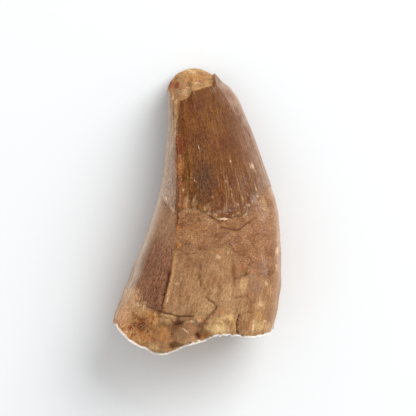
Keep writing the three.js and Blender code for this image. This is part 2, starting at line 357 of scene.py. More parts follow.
# %% The brushes
def push(amount, name):
    """Moves every point the way the smooth form faces there, so that damage never crumples the mesh."""
    write_points(read_points() + form * amount[:, None])
    print(f"{name}: {amount.min():.2f} to {amount.max():.2f}")


def rough(points, size, seed, octaves=2):
    """Noise between about -1 and 1 whose lumps are size across. size may differ along X, Y and Z."""
    spots = points / np.asarray(size) + np.array(TURNS) * (seed + 1)
    return np.array([noise.fractal(Vector(p), 0.8, 2.0, octaves) for p in spots])


def away_from(path, x, y):
    """Distance in plan from a path of (x, y) points."""
    best = np.full(len(x), 1e3)
    for (ax, ay), (bx, by) in zip(path, path[1:]):
        dx, dy = bx - ax, by - ay
        t = np.clip(((x - ax) * dx + (y - ay) * dy) / (dx * dx + dy * dy), 0, 1)
        best = np.minimum(best, np.hypot(x - ax - t * dx, y - ay - t * dy))
    return best


def blob(x, y, centre, radii, turn=0.0):
    """1 in the middle of an ellipse, falling to 0.37 at its edge and then to 0. turn is in degrees."""
    c, s = np.cos(np.radians(turn)), np.sin(np.radians(turn))
    dx, dy = x - centre[0], y - centre[1]
    return np.exp(-(((dx * c + dy * s) / radii[0]) ** 2) - ((dy * c - dx * s) / radii[1]) ** 2)


def top_height(x, y):
    """Height of the smooth upper side above a place in plan."""
    s = slice_at(y)
    wide = np.where(x >= s["peak"], s["right"] - s["peak"], s["peak"] - s["left"])
    share = np.clip(np.abs(x - s["peak"]) / wide, 0, 1)
    return s["waist"] + (s["top"] - s["waist"]) * np.sqrt(1 - share ** s["back"])


print("the smooth upper side rises to", top_height(start[:, 0], start[:, 1]).max().round(2))

# %% [markdown]
# ## The two breaks
# The tip broke on a slanting face whose near rim steps up in the middle, and the root snapped along a
# ragged line. The cage had smooth versions of both. Points near each rim are slid along the tooth until the
# rim passes through the places below, and the slide fades with distance.

# %% Shape the broken rims
NEAR_RIM = [
    (-6.3, 26.3), (-5.6, 25.6), (-5.1, 24.9), (-4.85, 23.6), (-4.4, 23.1), (-2.9, 23.6), (-2.2, 23.95),
    (-1.55, 24.2), (-1.15, 24.8), (-0.75, 25.6), (0.8, 25.95), (2, 26.45), (3.1, 26.65), (3.6, 27.2),
    (3.8, 28.1), (3.97, 29.15), (4.69, 28.5), (5.46, 27.6), (6.5, 26.8), (7.2, 26.5), (7.6, 25.75),
    (8.6, 24.3),
]
FAR_RIM = [
    (-6.3, 26.5), (-5.7, 27.75), (-5.4, 28.2), (-4.8, 28.75), (-4.1, 29.25), (-2.9, 29.5), (-1.6, 29.9),
    (-0.35, 30.05), (0.9, 30.05), (2.2, 29.85), (3.4, 29.4), (4, 29.2),
]


def plane_rim(x, under):
    """Where the tip's flat break meets the smooth upper side or underside, as y."""
    y = np.full(len(x), 27.0)
    for _ in range(STEPS):
        s = slice_at(y)
        z = s["bottom"] + 0.8 if under else top_height(x, y)
        y = (y + tip_edge(x, z)) / 2
    return y


x, y, z = start.T
s = slice_at(y)
height = np.clip((z - s["bottom"]) / (s["top"] - s["bottom"]), 0, 1)
near_shift = through(NEAR_RIM, x) - plane_rim(x, False) + 0.1 * rough(start, 0.9, 1)
far_shift = through(FAR_RIM, x) - plane_rim(x, True)
reach = np.exp(-np.clip(tip_edge(x, z) - y, 0, 99) / 1.6)
upper_share = np.clip((height - 0.1) / 0.8, 0, 1)
tip_shift = reach * (near_shift * upper_share + far_shift * (1 - upper_share)) * (1 - smooth(x, 3.9, 4.7))
tip_shift *= smooth(y, 18, 21)
ragged = (0.16 - 0.1 * smooth(x, 7, 10)) * rough(start * [1, 0.4, 1], 1.5, 2, 2)
reach = np.exp(-np.clip(y - base_edge(x, z), 0, 99) / 1.2)
base_shift = reach * ragged * smooth(-y, 20, 23)
slid = y + tip_shift + base_shift
beside_spike = smooth(x, 3.9, 4.3) * (1 - smooth(x, 7.6, 8.6))
slid -= beside_spike * np.maximum(slid - through(NEAR_RIM, x), 0)
write_points(np.stack([x, slid, z], axis=1))
print("tip slid", tip_shift.min().round(2), "to", tip_shift.max().round(2))

# %% [markdown]
# ## Layers and swellings
# Enamel sits on the crown like a shell, so the crown stands proud of the root. Nearer the broken end the
# root's outer layer has flaked away, and its left face has weathered lower than its upper face.

# %% Carve the layers
LAYER_EDGE = [
    (-16.5, -14.4), (-14.4, -15.2), (-13.4, -16.6), (-11.9, -18.9), (-10.2, -19.8), (-7.3, -21),
    (-5.2, -21.6), (-3.8, -22.7), (-2.1, -22.1), (-0.4, -21.8), (0.6, -22.7), (1.7, -23.9),
    (3.1, -24.9), (4.2, -27),
]
SWELLINGS = [
    # (centre, radius, rise)
    ((-12.0, -23.2), 2.4, -0.6), ((-13.9, -17.0), 1.6, 0.35), ((8.8, -18.5), 3.4, 0.3), ((8, -11), 3, -0.25),
    ((12.5, -13), 3.2, 0.3), ((1, -14), 4, 0.25), ((-10.6, -27.2), 1.8, 0.4),
]
DOMES = [
    # (centre, radii, turn, rise)
    ((-2.5, -25.1), (2.5, 2.3), 20, 1.1), ((-7.3, -26.6), (2.6, 2.7), 0, 0.9),
    ((-5.4, -22.6), (1.7, 0.8), -8, 0.3), ((4.7, -24.1), (2.5, 1.8), 5, 0.3),
    ((10.3, -23.5), (1.35, 2.7), -4, 0.3), ((-1.9, -22.9), (1.3, 0.7), 5, 0.35),
]
points, normals, x, y, z = survey()
s = slice_at(y)
upper = smooth(normals[:, 2], 0.0, 0.3)
wobble = 0.3 * rough(points, 1.6, 3, 3)

past_enamel = y - enamel_edge(x, z, s) + wobble
step = 0.12 + 0.26 * upper**2
relief = step * smooth(past_enamel, -0.15, 0.15) * np.exp(-np.clip(past_enamel, 0, 99) / 9)

past_layer = through(LAYER_EDGE, x) - y + 0.5 * wobble
flaked = smooth(past_layer, 0, 0.5) * (x < LAYER_EDGE[-1][0]) * upper
relief -= 0.6 * flaked
left_face = smooth(s["ridge"] - x, -0.1, 0.25) * upper
relief -= 0.5 * left_face * smooth(-y, 8, 13) * (1 - flaked)
for centre, radius, rise in SWELLINGS:
    relief += upper * rise * blob(x, y, centre, (radius, radius))
for centre, radii, turn, rise in DOMES:
    spread = -np.log(blob(x + 1.2 * wobble, y - 1.2 * wobble, centre, radii, turn) + 1e-9)
    relief += upper * rise * np.sqrt(np.clip(1 - spread, 0, 1))
relief += smooth(-y, -4, 12) * 0.16 * np.sin(0.55 * x + 0.35 * y) * np.sin(0.7 * y - 0.4 * z + 1)
push(relief, "layers")

# %% [markdown]
# ## The carinae
# A mosasaur's crown has two cutting edges. The first stands up as a thin crest along the concave side, and
# its flank has chipped away in a narrow strip. The second shows at the top of the convex side.

# %% Raise the cutting edges
# The chipped strip's two edges: (y, x)
CHIPPED_LEFT = [
    (0, -3.4), (5, -3.55), (10, -3.75), (14.5, -4), (17.9, -4.3), (20, -4.5), (22.7, -4.85), (25.2, -5.2),
]
CHIPPED_RIGHT = [
    (0, -2.9), (6, -2.75), (12, -2.8), (15.5, -3.05), (17.5, -3.7), (20, -3.7), (21.5, -3.4), (23.5, -3.2),
]
points, normals, x, y, z = survey()
s = slice_at(y)
reach = np.clip((s["peak"] - s["ridge"]) / (s["peak"] - s["left"]), 0, 1)
ridge_z = s["waist"] + (s["top"] - s["waist"]) * np.sqrt(1 - reach ** s["back"])
from_ridge = np.hypot(x - s["ridge"], z - ridge_z)
carina = (0.2 + 0.35 * smooth(y, -8, 3)) * np.exp(-from_ridge / 0.8)
second = 0.45 * smooth(y, 9, 17) * (x > s["peak"]) * (normals[:, 2] > -0.3)
carina += second * np.exp(-np.abs(z - s["waist"] - 2.6) / 0.7)

torn = x + 0.2 * rough(points, (0.7, 1.0, 0.7), 4, 3)
chipped = smooth(torn - through(CHIPPED_LEFT, y), -0.12, 0.12) * smooth(y, 0.5, 3) * upper
chipped *= (1 - smooth(torn - through(CHIPPED_RIGHT, y), -0.12, 0.12)) * (1 - smooth(y, 23.2, 24.2))
carina -= chipped * (0.22 + 0.12 * rough(points, (0.6, 0.9, 0.6), 5, 3))
push(carina, "cutting edges")

# %% [markdown]
# ## Cracks, pits and pockets
# Stone cracks along the bone's grain and across it. Each crack is a path in plan, cut as a narrow groove
# whose line wanders a little. Pits are holes with soft rims, and pockets are deeper ones with a floor.

# %% Cut the cracks and pits
CRACKS = {
    # name: (half width, depth, path)
    "beside ridge": (0.24, 0.6, [(-5.4, -12.2), (-5.7, -13.2), (-6.05, -14.9), (-6.5, -17.2)]),
    "below it": (0.16, 0.4, [(-6.5, -17.2), (-6.95, -19.2), (-7.3, -20.6)]),
    "under the layer": (0.12, 0.1, [(-7.3, -20.6), (-7.5, -21.6), (-7.8, -23.2)]),
    # a real groove whose dark line is a painted shadow beside the chipped strip
    "shadow beside strip": (0.15, 0.26, [(-4.2, 16.2), (-4.05, 12.9), (-3.95, 10.8), (-3.85, 6.6), (-3.55, 2.4)]),
    "crevice": (0.16, 0.3, [(-3.9, 0.4), (-3.8, -1.0), (-4.05, -2.4)]),
    "across left": (0.15, 0.25, [(-9.9, -19.4), (-9.15, -19.7), (-7.3, -20.6)]),
    "across right": (
        0.17, 0.35, [(-7.3, -20.6), (-6.5, -20.8), (-5, -21), (-3.75, -21.5), (-2.5, -21.4), (-0.4, -21.4)],
    ),
    "stem": (0.18, 0.35, [(-3.75, -21.5), (-3.75, -22.6)]),
    "upper": (
        0.13, 0.2, [(1.1, -10.9), (0.9, -12.3), (0.8, -13.4), (0.9, -14.2), (1.15, -15), (1.7, -15.6)],
    ),
    "corner": (0.15, 0.3, [(2.1, -17.3), (2.9, -18.1), (3.85, -18.8), (4.35, -19.4), (4.25, -20.0)]),
    # a real groove whose dark line is partly the painted shadow of the flaked layer's ledge
    "ledge shadow": (0.2, 0.2, [(4.25, -20.0), (3.5, -20.6), (2.7, -21.3), (2.1, -22.1), (1.5, -23.1)]),
    "faint": (0.12, 0.08, [(4.5, -19.5), (6.0, -19.7), (7.3, -19.5)]),
    "under enamel": (0.13, 0.25, [(5.2, -2.8), (6.5, -3.2), (8.8, -3.55), (10.7, -2.2), (11.6, -1.6)]),
    "right": (
        0.2, 0.08, [(7.9, -7.6), (7.4, -10.2), (7.6, -12.3), (7.9, -14.8), (7.7, -16.1), (7.9, -17.3)],
    ),
    "branch": (
        0.16, 0.14,
        [(8.1, -13.6), (8.9, -13.5), (10, -13), (10.6, -12.3), (10.9, -11.1), (11.4, -10.5), (12.3, -10.1)],
    ),
    "stain line": (
        0.18, 0.14, [(7.9, -17.3), (8.5, -17.7), (10.4, -17.1), (10.9, -17.3), (11.4, -18.4), (11.5, -19.6)],
    ),
    "slot": (0.15, 0.45, [(9.0, -21.2), (8.7, -22.5), (8.55, -24.0), (8.8, -25.2), (10.0, -25.7)]),
    "plug top": (0.14, 0.12, [(9.0, -21.2), (10.4, -20.6), (11.9, -20.8)]),
}
PITS = [
    # (centre, radii, depth)
    ((-12.6, -21.8), (0.6, 0.5), 0.5), ((-11.4, -22.6), (0.5, 0.6), 0.6), ((-10.7, -23.9), (0.6, 0.5), 0.6),
    ((-12, -23.9), (0.5, 0.4), 0.5), ((-13.4, -22.9), (0.4, 0.5), 0.4), ((-11, -21.4), (0.4, 0.4), 0.4),
    ((-9.9, -22.9), (0.35, 0.5), 0.45), ((-9.5, -26.1), (0.5, 0.4), 0.5), ((-16.7, -22.6), (0.4, 0.4), 0.4),
    ((-15.4, -22.9), (0.35, 0.45), 0.35), ((-12.9, -25.2), (0.4, 0.3), 0.35),
    ((-8.8, -21.9), (0.3, 0.4), 0.3),
]
points, normals, x, y, z = survey()
upper = smooth(normals[:, 2], 0.0, 0.3)
wander_x = x + 0.22 * rough(points, 0.9, 6, 3)
wander_y = y + 0.22 * rough(points, 0.9, 7, 3)
cut = np.zeros(len(x))
dark_line = np.zeros(len(x))
for width, depth, path in CRACKS.values():
    away = away_from(path, wander_x, wander_y) / width
    cut -= depth * np.exp(-(away**2))
    # Each crack is painted dark; beside the chipped strip and below the flaked layer's ledge this is a
    # painted shadow.
    dark_line = np.maximum(dark_line, min(depth / 0.28, 1) * np.exp(-((away / 1.1) ** 2)))
for centre, radii, depth in PITS:
    cut -= depth * blob(wander_x, wander_y, centre, radii)
cut = np.maximum(cut, -1.0) * upper
push(cut, "cracks and pits")

# %% Sink the pockets
POCKETS = [
    # (centre, radii, turn, depth, steepness)
    ((1.35, -25.35), (1.35, 0.95), -12, 0.9, 3.0),
    ((0.35, -25.5), (0.5, 0.7), 10, 1.4, 2.5),
    ((-4.4, -27.3), (0.95, 0.6), 14, 0.8, 2.5),
    ((-4.9, -27.6), (0.5, 0.8), 0, 0.7, 2.5),
]
points = read_points()
x, y, z = points.T
drop = np.zeros(len(x))
for centre, radii, turn, depth, steepness in POCKETS:
    inside = -np.log(np.maximum(blob(x + 0.1 * rough(points, 0.7, 8), y, centre, radii, turn), 1e-9))
    floor = np.exp(-(inside**steepness)) * (z > 10)
    drop += depth * floor
write_points(points - np.stack([0 * x, 0 * x, drop], axis=1))
print("deepest pocket", drop.max().round(2))

# %% [markdown]
# ## The grain
# Enamel is drawn out in fine ridges from root to tip. Root bone is fibrous lower down and granular near the
# crown. Both follow the tooth's columns, so the noise is sampled on a cylinder that the tooth is unrolled
# to.

# %% Carve the grain
points, normals, x, y, z = survey()
s = slice_at(y)
upper = smooth(normals[:, 2], 0.0, 0.3)
sideways = (x - (s["left"] + s["right"]) / 2) / (s["right"] - s["left"])
turn = np.arctan2((z - s["waist"]) / (s["top"] - s["bottom"]), sideways)
GRAIN_RADIUS = 10  # the radius of the cylinder
flow = np.stack([GRAIN_RADIUS * np.cos(turn), GRAIN_RADIUS * np.sin(turn), y], axis=1)
rim = np.where(normals[:, 2] > 0.05, through(NEAR_RIM, x), through(FAR_RIM, x) - 0.4)
on_tip = smooth(y - rim + 0.12 * rough(points, 0.6, 13), -0.12, 0.12) * (y > 22) * (1 - smooth(x, 3.7, 4.1))
on_base = smooth(-normals[:, 1], 0.45, 0.7) * smooth(-y, 21, 24) * (1 - 0.6 * upper)
past_enamel = y - enamel_edge(x, z, s) + 0.3 * rough(points, 1.6, 3, 3)
fade = 0.12 + 1.3 * smooth(x, 10, 13)
enamel = smooth(past_enamel / fade, -1, 1) * (1 - on_tip) * (1 - chipped)
root = 1 - smooth(y - enamel_edge(x, z, s), -0.2, 0.2)

ridges = rough(flow, (0.8, 0.8, 14), 9, 3)
fibres = rough(flow, (0.6, 0.6, 7), 10, 3)
grains = rough(points, 0.9, 11, 3)
broken = rough(points, 1.4, 12, 4)
fine = enamel * 0.05 * ridges
fine += root * (1 - on_base) * (0.05 * fibres + (0.03 + 0.05 * smooth(y, -11, -8)) * grains)
fine += on_tip * (0.05 * broken - 0.35 * blob(x, y, (-0.5, 26.8), (2.4, 1.6)))
fine += on_base * 0.45 * broken
push(fine, "grain")

# %% [markdown]
# ## The worn flat
# The tooth rests on a flat along its underside. Points below the surface are pressed up onto it.

# %% Press the flat
MIDDLE = (0.29, 0.33, 0)  # the middle of the tooth's box, which becomes the origin
points = read_points() - MIDDLE
points[:, 2] = np.maximum(points[:, 2], 0)
write_points(points)
print("size", (points.max(0) - points.min(0)).round(2), "on the frame's", ((high - low) / MM)[:])

# %% [markdown]
# ## Masks for the paint
# The colours follow the tooth's own features, so the material needs to know where they are. Each mask is a
# number from 0 to 1 stored on the points as a named attribute, as a painter's stencil would be. Stains are
# soft ellipses in plan, and the material breaks up their edges with noise. Where two of one pigment
# overlap, the stronger one counts.

# %% List the stains
STAINS = {
    # pigment: (x, y, half width, half length, turn, strength), from the tip to the root
    "umber": [
        # the tip
        (-3.5, 28.3, 1.3, 0.5, 32, 0.3), (-4.9, 26.6, 0.9, 1.3, 0, 0.35), (-2.6, 25.4, 1.2, 0.8, 0, 0.2),
        # the crown
        (-5.5, 23, 0.18, 2.4, 0, 1), (-0.8, 22.4, 2.4, 1, 20, 0.3), (-5.4, 19, 0.16, 1.8, 4, 0.7),
        (5.8, 18.1, 2.4, 0.9, 0, 0.1), (7.8, 17.4, 1.5, 4, 25, 0.4), (-6.3, 16.6, 0.2, 1.6, 0, 0.4),
        (3.8, 16, 1, 0.9, 0, 0.14), (1.7, 14.6, 1.2, 1.2, 0, 0.25), (-6, 13, 0.9, 0.4, 10, 0.4),
        (0.2, 12.6, 0.9, 2.4, 0, 0.35), (9.6, 12.6, 0.9, 3, 20, 0.2), (1.6, 12.4, 1.3, 1.8, 0, 0.3),
        (10.2, 12.2, 0.9, 3.4, 20, 0.3), (12, 9.6, 0.9, 2, 12, 0.13), (-4.15, 9, 0.14, 6.5, -2, 0.7),
        (1.5, 6.4, 2.3, 4.6, 3, 0.85), (12.1, 4.4, 0.9, 1.6, 8, 0.18), (11.6, 4.2, 0.9, 2.6, 20, 0.55),
        # where the enamel ends
        (0.4, 2.6, 1.8, 1.6, 0, 0.6), (-4.6, 0.75, 1.4, 0.13, -45, 1),
        # the root
        (-2, -2.6, 1.4, 0.8, 0, 0.3), (13.2, -4.6, 0.7, 0.6, 0, 0.4), (4, -4.9, 2.2, 0.8, 10, 0.3),
        (9.8, -7, 0.9, 1.3, 0, 0.3), (3, -10.4, 3, 1.6, 0, 0.2), (1.9, -10.6, 1.6, 1.2, 0, 0.25),
        (0.6, -11, 3.6, 1.4, 0, 0.25), (7.7, -12.4, 0.45, 4.2, 0, 0.45), (15, -12.6, 0.5, 1.6, 0, 0.35),
        (10.2, -13, 1, 0.45, 25, 0.65), (0.85, -13.5, 0.3, 0.5, 0, 0.4), (8.2, -15.2, 1.4, 1.2, 0, 0.3),
        (9, -15.3, 1.9, 0.9, 0, 0.15), (-8.6, -16.4, 1.8, 3.2, -20, 0.4), (-8.4, -19.7, 1.6, 0.5, -24, 0.5),
        # near the broken end
        (12.9, -20.6, 0.5, 0.35, 0, 0.4), (-12.4, -21.2, 0.6, 0.6, 0, 0.2),
        (-13.4, -21.6, 0.5, 0.9, -10, 0.7), (-3.6, -23, 1.4, 0.8, 0, 0.8), (-12.9, -23.4, 0.5, 0.6, 0, 0.8),
        (-11.6, -23.9, 1.1, 1.1, -25, 0.9), (-4.3, -24, 1, 1.2, -30, 0.55), (-8.6, -24.2, 2.2, 1.2, 0, 0.5),
        (-12, -24.2, 1.6, 1, 0, 0.4), (-12, -24.6, 1.6, 0.8, -20, 0.4), (-2.6, -24.8, 1.2, 1.2, 0, 0.25),
        (-10.2, -24.9, 0.5, 0.5, 0, 0.7), (-6.6, -25.8, 1.6, 1.6, 0, 0.25),
    ],
    "honey": [
        (-1.1, 28.3, 1.3, 1.2, 0, 0.7), (2, 27.6, 1.2, 1, 0, 0.3), (3.9, 19, 1.8, 3, 14, 0.1),
        (-2, 8.8, 0.8, 2.8, 0, 0.2), (-9.4, -20.9, 1.4, 0.4, -14, 0.5), (12.9, -22.4, 1.3, 2.4, 0, 0.4),
        (7.6, -23.4, 0.8, 1.6, 0, 0.5), (-8, -24.2, 1.8, 0.9, -10, 0.4), (3.6, -24.5, 2, 0.9, 4, 0.5),
        (1.7, -26.3, 1.2, 0.5, 10, 1.2), (-11.8, -27, 1.8, 0.8, -18, 0.5),
    ],
    "ash": [
        # the tip; (5.3, 26.2) and (3.6, 25.6) are partly a painted sheen on the tip's right shoulder
        (5.3, 26.2, 0.9, 1.7, 32, 0.7), (3.6, 25.6, 0.8, 0.9, 0, 0.4), (-3.3, 25, 1.5, 0.9, 0, 0.35),
        # the crown; the first four are partly a painted sheen along the crown's right edge
        (7.4, 23.2, 1.5, 3, 32, 0.5), (9.9, 19.2, 0.5, 1.5, 24, 0.4), (9.8, 18.6, 0.5, 1.8, 24, 0.4),
        (11.2, 15, 1.2, 4.5, 24, 0.15), (9.6, 5.8, 1.6, 2.2, 15, 0.22), (13, 4.4, 0.8, 2.2, 20, 0.3),
        # where the enamel ends
        (14.2, 3.4, 0.8, 1.3, 0, 0.4), (12.1, 2.4, 0.9, 1.6, 20, 0.6), (12, 2.4, 1, 1, 0, 0.5),
        (7.8, 1.2, 3, 1, 0, 0.25), (13.6, 0.2, 2.2, 3.2, 20, 0.5), (5.4, 0, 3.4, 0.5, 8, 0.4),
        (10.4, 0, 2.2, 1.4, 20, 0.3), (14.2, -2, 1, 3, 0, 0.3),
        # the root
        (7, -5.6, 1.6, 1.2, 0, 0.25), (14, -11.6, 1, 2.2, 0, 0.5), (11.6, -13.6, 1.6, 1.6, 0, 0.3),
        (12.2, -15.4, 1.2, 1.6, 0, 0.4),
        # near the broken end
        (0, -23.2, 0.7, 0.5, 20, 0.6),
    ],
    "sand": [
        # the tip
        (-2.4, 25.2, 1.8, 1, 30, 0.6),
        # the crown
        (-4.6, 17.5, 0.4, 4.5, -3, 0.5),
        # where the enamel ends
        (-0.6, 2, 1.2, 1.2, 0, 0.35), (-2.3, 2, 1.1, 1.6, 0, 0.55), (13.8, 1, 1.1, 2.4, 30, 0.5),
        (5.8, 0.8, 1.2, 0.8, 0, 0.35), (1.6, 0.6, 1.6, 0.8, 10, 0.35), (-5, 0.4, 0.7, 0.9, 0, 0.5),
        (-0.4, 0.3, 1, 0.5, 0, 0.4), (-0.4, 0.2, 1.8, 0.7, 0, 0.35), (-4.4, 0.2, 0.8, 0.9, 0, 0.4),
        (-2.1, 0.2, 1, 0.6, 10, 0.9), (3.4, -0.9, 2.4, 0.7, -10, 0.35), (3.8, -1.4, 2.6, 0.8, 0, 0.3),
        (2.4, -1.8, 1.6, 0.5, -20, 0.45),
        # the root
        (-1.4, -5.4, 1.6, 0.8, 10, 0.4), (-0.6, -8.3, 1.6, 0.2, 4, 0.7), (6.2, -11.4, 0.9, 2.2, 0, 0.3),
        (1.7, -14.2, 1.8, 1, 0, 0.35), (9.6, -15.2, 1.1, 1.6, 0, 0.9), (5.5, -15.2, 0.8, 1, 0, 0.55),
        (5.9, -15.4, 1.3, 1.4, 0, 0.4), (6, -15.6, 1.2, 1.2, 0, 0.4), (3.8, -16.2, 1, 1, 0, 0.7),
        (-4.8, -16.4, 1.2, 1.8, -10, 0.45), (-13.2, -16.9, 0.8, 1.2, -24, 0.5),
        (5.8, -18.4, 1.6, 2.2, 0, 0.5), (-12.6, -18.6, 1.2, 2, -24, 0.5), (2, -18.6, 6.5, 2.4, 0, 0.4),
        (13.2, -19.2, 0.8, 1, 0, 0.85),
        # near the broken end
        (-12.6, -20.2, 1.6, 1.2, 0, 0.45), (1.9, -20.2, 1.5, 1.5, 0, 0.8), (6, -20.4, 1.6, 0.9, 0, 0.3),
        (-11.6, -20.4, 2, 0.8, -14, 0.7), (-14.6, -20.5, 2, 3.6, -22, 0.95), (3.4, -20.6, 1.2, 0.8, 0, 0.3),
        (16.2, -21.6, 0.8, 2.4, 0, 0.4), (-5.9, -22.1, 1.9, 1.2, 0, 0.8), (10.2, -22.4, 1, 1.4, 0, 0.4),
        (-15, -22.6, 1.5, 1.6, 0, 0.6), (3.3, -22.7, 1.3, 1.1, 0, 0.65), (16, -23, 1, 1.6, 0, 0.4),
        (12.3, -23.1, 0.9, 2, 0, 0.75), (13.5, -24, 2.4, 1.6, 0, 0.55), (8, -24, 0.7, 1.6, 0, 0.5),
        (-10.4, -27.2, 3, 1.2, -14, 0.6),
    ],
    "mauve": [
        # The first five, on the tip's shoulder, the left strip and the crown's right edge, are partly a
        # painted sheen.
        (5.6, 24.2, 1.4, 2.6, 24, 0.4), (-5.3, 23.4, 0.35, 2.6, 0, 0.6), (-5.9, 17.5, 0.5, 2.5, 5, 0.4),
        (9.4, 16.2, 1.4, 6, 24, 0.35), (10.2, 13.5, 1.6, 6.5, 24, 0.4), (12.4, -4.6, 1.6, 1.6, 0, 0.35),
        (-7.4, -6.2, 1.6, 4, -20, 0.3), (15.2, -8, 1.5, 4.6, 0, 0.4), (12.5, -11.5, 1.3, 2, 0, 0.65),
        (12.6, -14.8, 0.9, 1.8, 0, 0.5), (10, -18.9, 1.2, 0.9, 0, 0.25), (-15.9, -20.6, 0.6, 3, -24, 0.5),
        (10.1, -22.6, 0.8, 1.4, -4, 0.15), (-2, -25, 2.3, 1.9, 0, 0.45),
    ],
    "ochre": [
        (-0.6, 27.8, 2.2, 1.1, 0, 0.6), (-3.5, 9.6, 0.7, 2, 0, 1.1), (-2.9, 4, 0.6, 2.5, 0, 0.5),
        (-2.6, 1, 0.7, 0.7, 0, 0.5), (-0.4, -3.4, 4, 2.2, 0, 0.28), (-3.9, -3.6, 0.5, 1.6, 4, 0.5),
        (-3.8, -6.7, 0.35, 0.8, 0, 1.1), (5.4, -20.9, 0.9, 0.7, 0, 0.45), (-13.6, -21.4, 1.2, 1.2, 0, 0.45),
        (11.2, -23.5, 0.35, 1.6, -5, 0.6), (-7.1, -25.6, 2.5, 2.4, 0, 0.55),
        (1.7, -25.8, 1.3, 0.5, 10, 1.1), (-10.8, -26.4, 2, 1.2, -20, 0.8),
        (-9.2, -28.2, 1.4, 0.6, -30, 0.7), (-4.4, -28.6, 1.2, 0.5, 14, 0.6),
    ],
    "rust": [
        # the tip
        (3.25, 27.4, 0.2, 1, -10, 0.9), (-5.4, 26.8, 0.6, 1.3, 0, 0.75), (-4.2, 26.6, 0.7, 0.9, 0, 0.95),
        (6.1, 25, 0.35, 0.55, 25, 0.45),
        # the crown
        (7.95, 22.4, 0.4, 0.8, 25, 0.5), (-1, 22, 2.2, 1.2, 20, 0.3), (-3.4, 19.6, 0.25, 2, 0, 0.4),
        (-1.4, 19, 0.8, 3, 0, 0.25), (3.2, 15, 1.8, 1.8, 0, 0.3), (-3.5, 13.6, 0.7, 1.8, 0, 1.3),
        (-3.7, 11.3, 0.3, 1.4, 0, 0.7), (-3.4, 6.4, 0.5, 2.6, 0, 0.5),
        # where the enamel ends
        (-3, 2, 0.4, 1.6, 0, 0.5), (-4, -1.2, 0.22, 1, 0, 0.8),
        # the root
        (-3.2, -2.8, 0.9, 0.7, 0, 0.5), (9.4, -11.2, 0.8, 1, 0, 0.35), (7.9, -13.6, 0.5, 1.6, 0, 0.45),
        (10.6, -17.2, 0.7, 0.4, 0, 0.35), (8.3, -17.6, 0.6, 0.4, 0, 0.4), (11.4, -18.9, 0.4, 0.9, 0, 0.3),
        # near the broken end
        (-13.3, -21.1, 0.4, 0.7, 0, 0.5), (-11.2, -22.4, 1.2, 0.6, 0, 0.7), (-4.4, -22.9, 0.8, 0.4, 0, 0.5),
        (-16.3, -23.4, 0.4, 0.3, 0, 0.9), (-4.2, -23.6, 0.8, 0.8, 0, 0.6), (-11.7, -23.7, 1.9, 1.4, 0, 0.6),
        (-13.7, -24.1, 0.8, 0.8, 0, 0.85), (-12.3, -24.3, 2.2, 1.6, -10, 0.45),
        (-10.6, -24.6, 1.2, 1, 0, 0.35), (-8.9, -26.6, 0.5, 0.4, 0, 0.6), (-7.4, -28.3, 1.6, 0.5, -10, 0.5),
    ],
    "peach": [
        (-6.4, -18, 1.3, 2.8, -10, 0.4), (-13.6, -18, 1.6, 2.6, -24, 0.7), (-4.6, -18.2, 1.4, 2, 0, 0.3),
        (-14.6, -18.6, 1.6, 2.4, -24, 0.5), (-10.9, -19.5, 1.3, 0.8, -20, 0.4),
        (-12.9, -20.4, 1.2, 1.4, 0, 0.5), (-12.6, -21.4, 1.4, 1.4, 0, 0.3),
        (-15.5, -21.8, 1.7, 3.2, -24, 0.9), (0.2, -22.4, 1.6, 0.9, 0, 0.45), (1.7, -22.5, 1, 0.9, 0, 0.35),
        (1.2, -22.6, 1.4, 0.9, 0, 0.35), (12, -24.6, 1.2, 1, 0, 0.3), (-14.6, -25, 1, 0.6, -30, 0.6),
        (-4.4, -26.4, 0.9, 1.2, 0, 0.3), (-1.2, -26.8, 1.8, 0.8, 20, 0.5), (-4.2, -28.6, 1.4, 0.6, 0, 0.5),
        (-4.4, -28.8, 1.4, 0.5, 0, 0.5),
    ],
    "butter": [
        # the tip; the first is a painted highlight along the tip's far rim
        (-1, 29.6, 3.4, 0.6, 3, 0.55), (3, 27.4, 0.9, 1, 0, 0.4), (3, 26.6, 0.6, 0.8, 0, 0.3),
        # the root
        (-11, -19.8, 1.4, 1.2, 0, 0.4),
        # near the broken end
        (-10.8, -20.2, 1.2, 0.9, 0, 0.45), (9.2, -20.4, 1.6, 1.2, 0, 0.35), (9.4, -21.4, 1.2, 1, 0, 0.3),
        (0, -21.8, 1.8, 0.6, 0, 0.4), (6.2, -22, 2.6, 1, 0, 0.6), (7.8, -22.6, 1.2, 1.2, 0, 0.35),
        (4.6, -22.6, 1.5, 1, 0, 0.6), (7.9, -22.8, 0.9, 1.3, 0, 0.35), (-1.6, -22.8, 1.4, 0.4, 0, 0.4),
        (12.9, -24, 1.6, 1.3, 0, 0.6), (4.4, -24.3, 2.5, 1.3, 4, 1), (11.8, -24.6, 1.2, 1, 0, 0.35),
        (1.7, -26.1, 1.2, 0.4, 10, 0.35), (-2, -26.8, 2.6, 0.5, 18, 0.45),
        (-9.4, -27.6, 2.6, 0.8, -24, 0.4), (-8.8, -28.3, 2.2, 0.7, -15, 0.7), (-4.6, -28.4, 2, 0.5, 8, 0.4),
        (-9.2, -28.6, 1.6, 0.6, 0, 0.5), (-9, -28.8, 1.8, 0.6, -10, 0.5), (-6, -28.9, 2.4, 0.5, 0, 0.35),
    ],
    "cream": [
        # the tip; the first is partly a painted highlight along the tip's far rim
        (-0.4, 29.3, 1.6, 0.4, 0, 0.4), (0, 26.9, 1.1, 0.45, -20, 0.4),
        # the crown
        (-5.05, 23.2, 0.09, 2, 0, 0.8), (-4.6, 20.4, 0.3, 2.2, -4, 0.5), (-6.3, 18.6, 0.1, 1.2, -10, 0.5),
        (-4.6, 16, 0.35, 3, 0, 0.4), (-6.1, 15.6, 0.1, 0.8, 20, 0.5), (-5.6, 13.8, 0.6, 1.6, 0, 0.45),
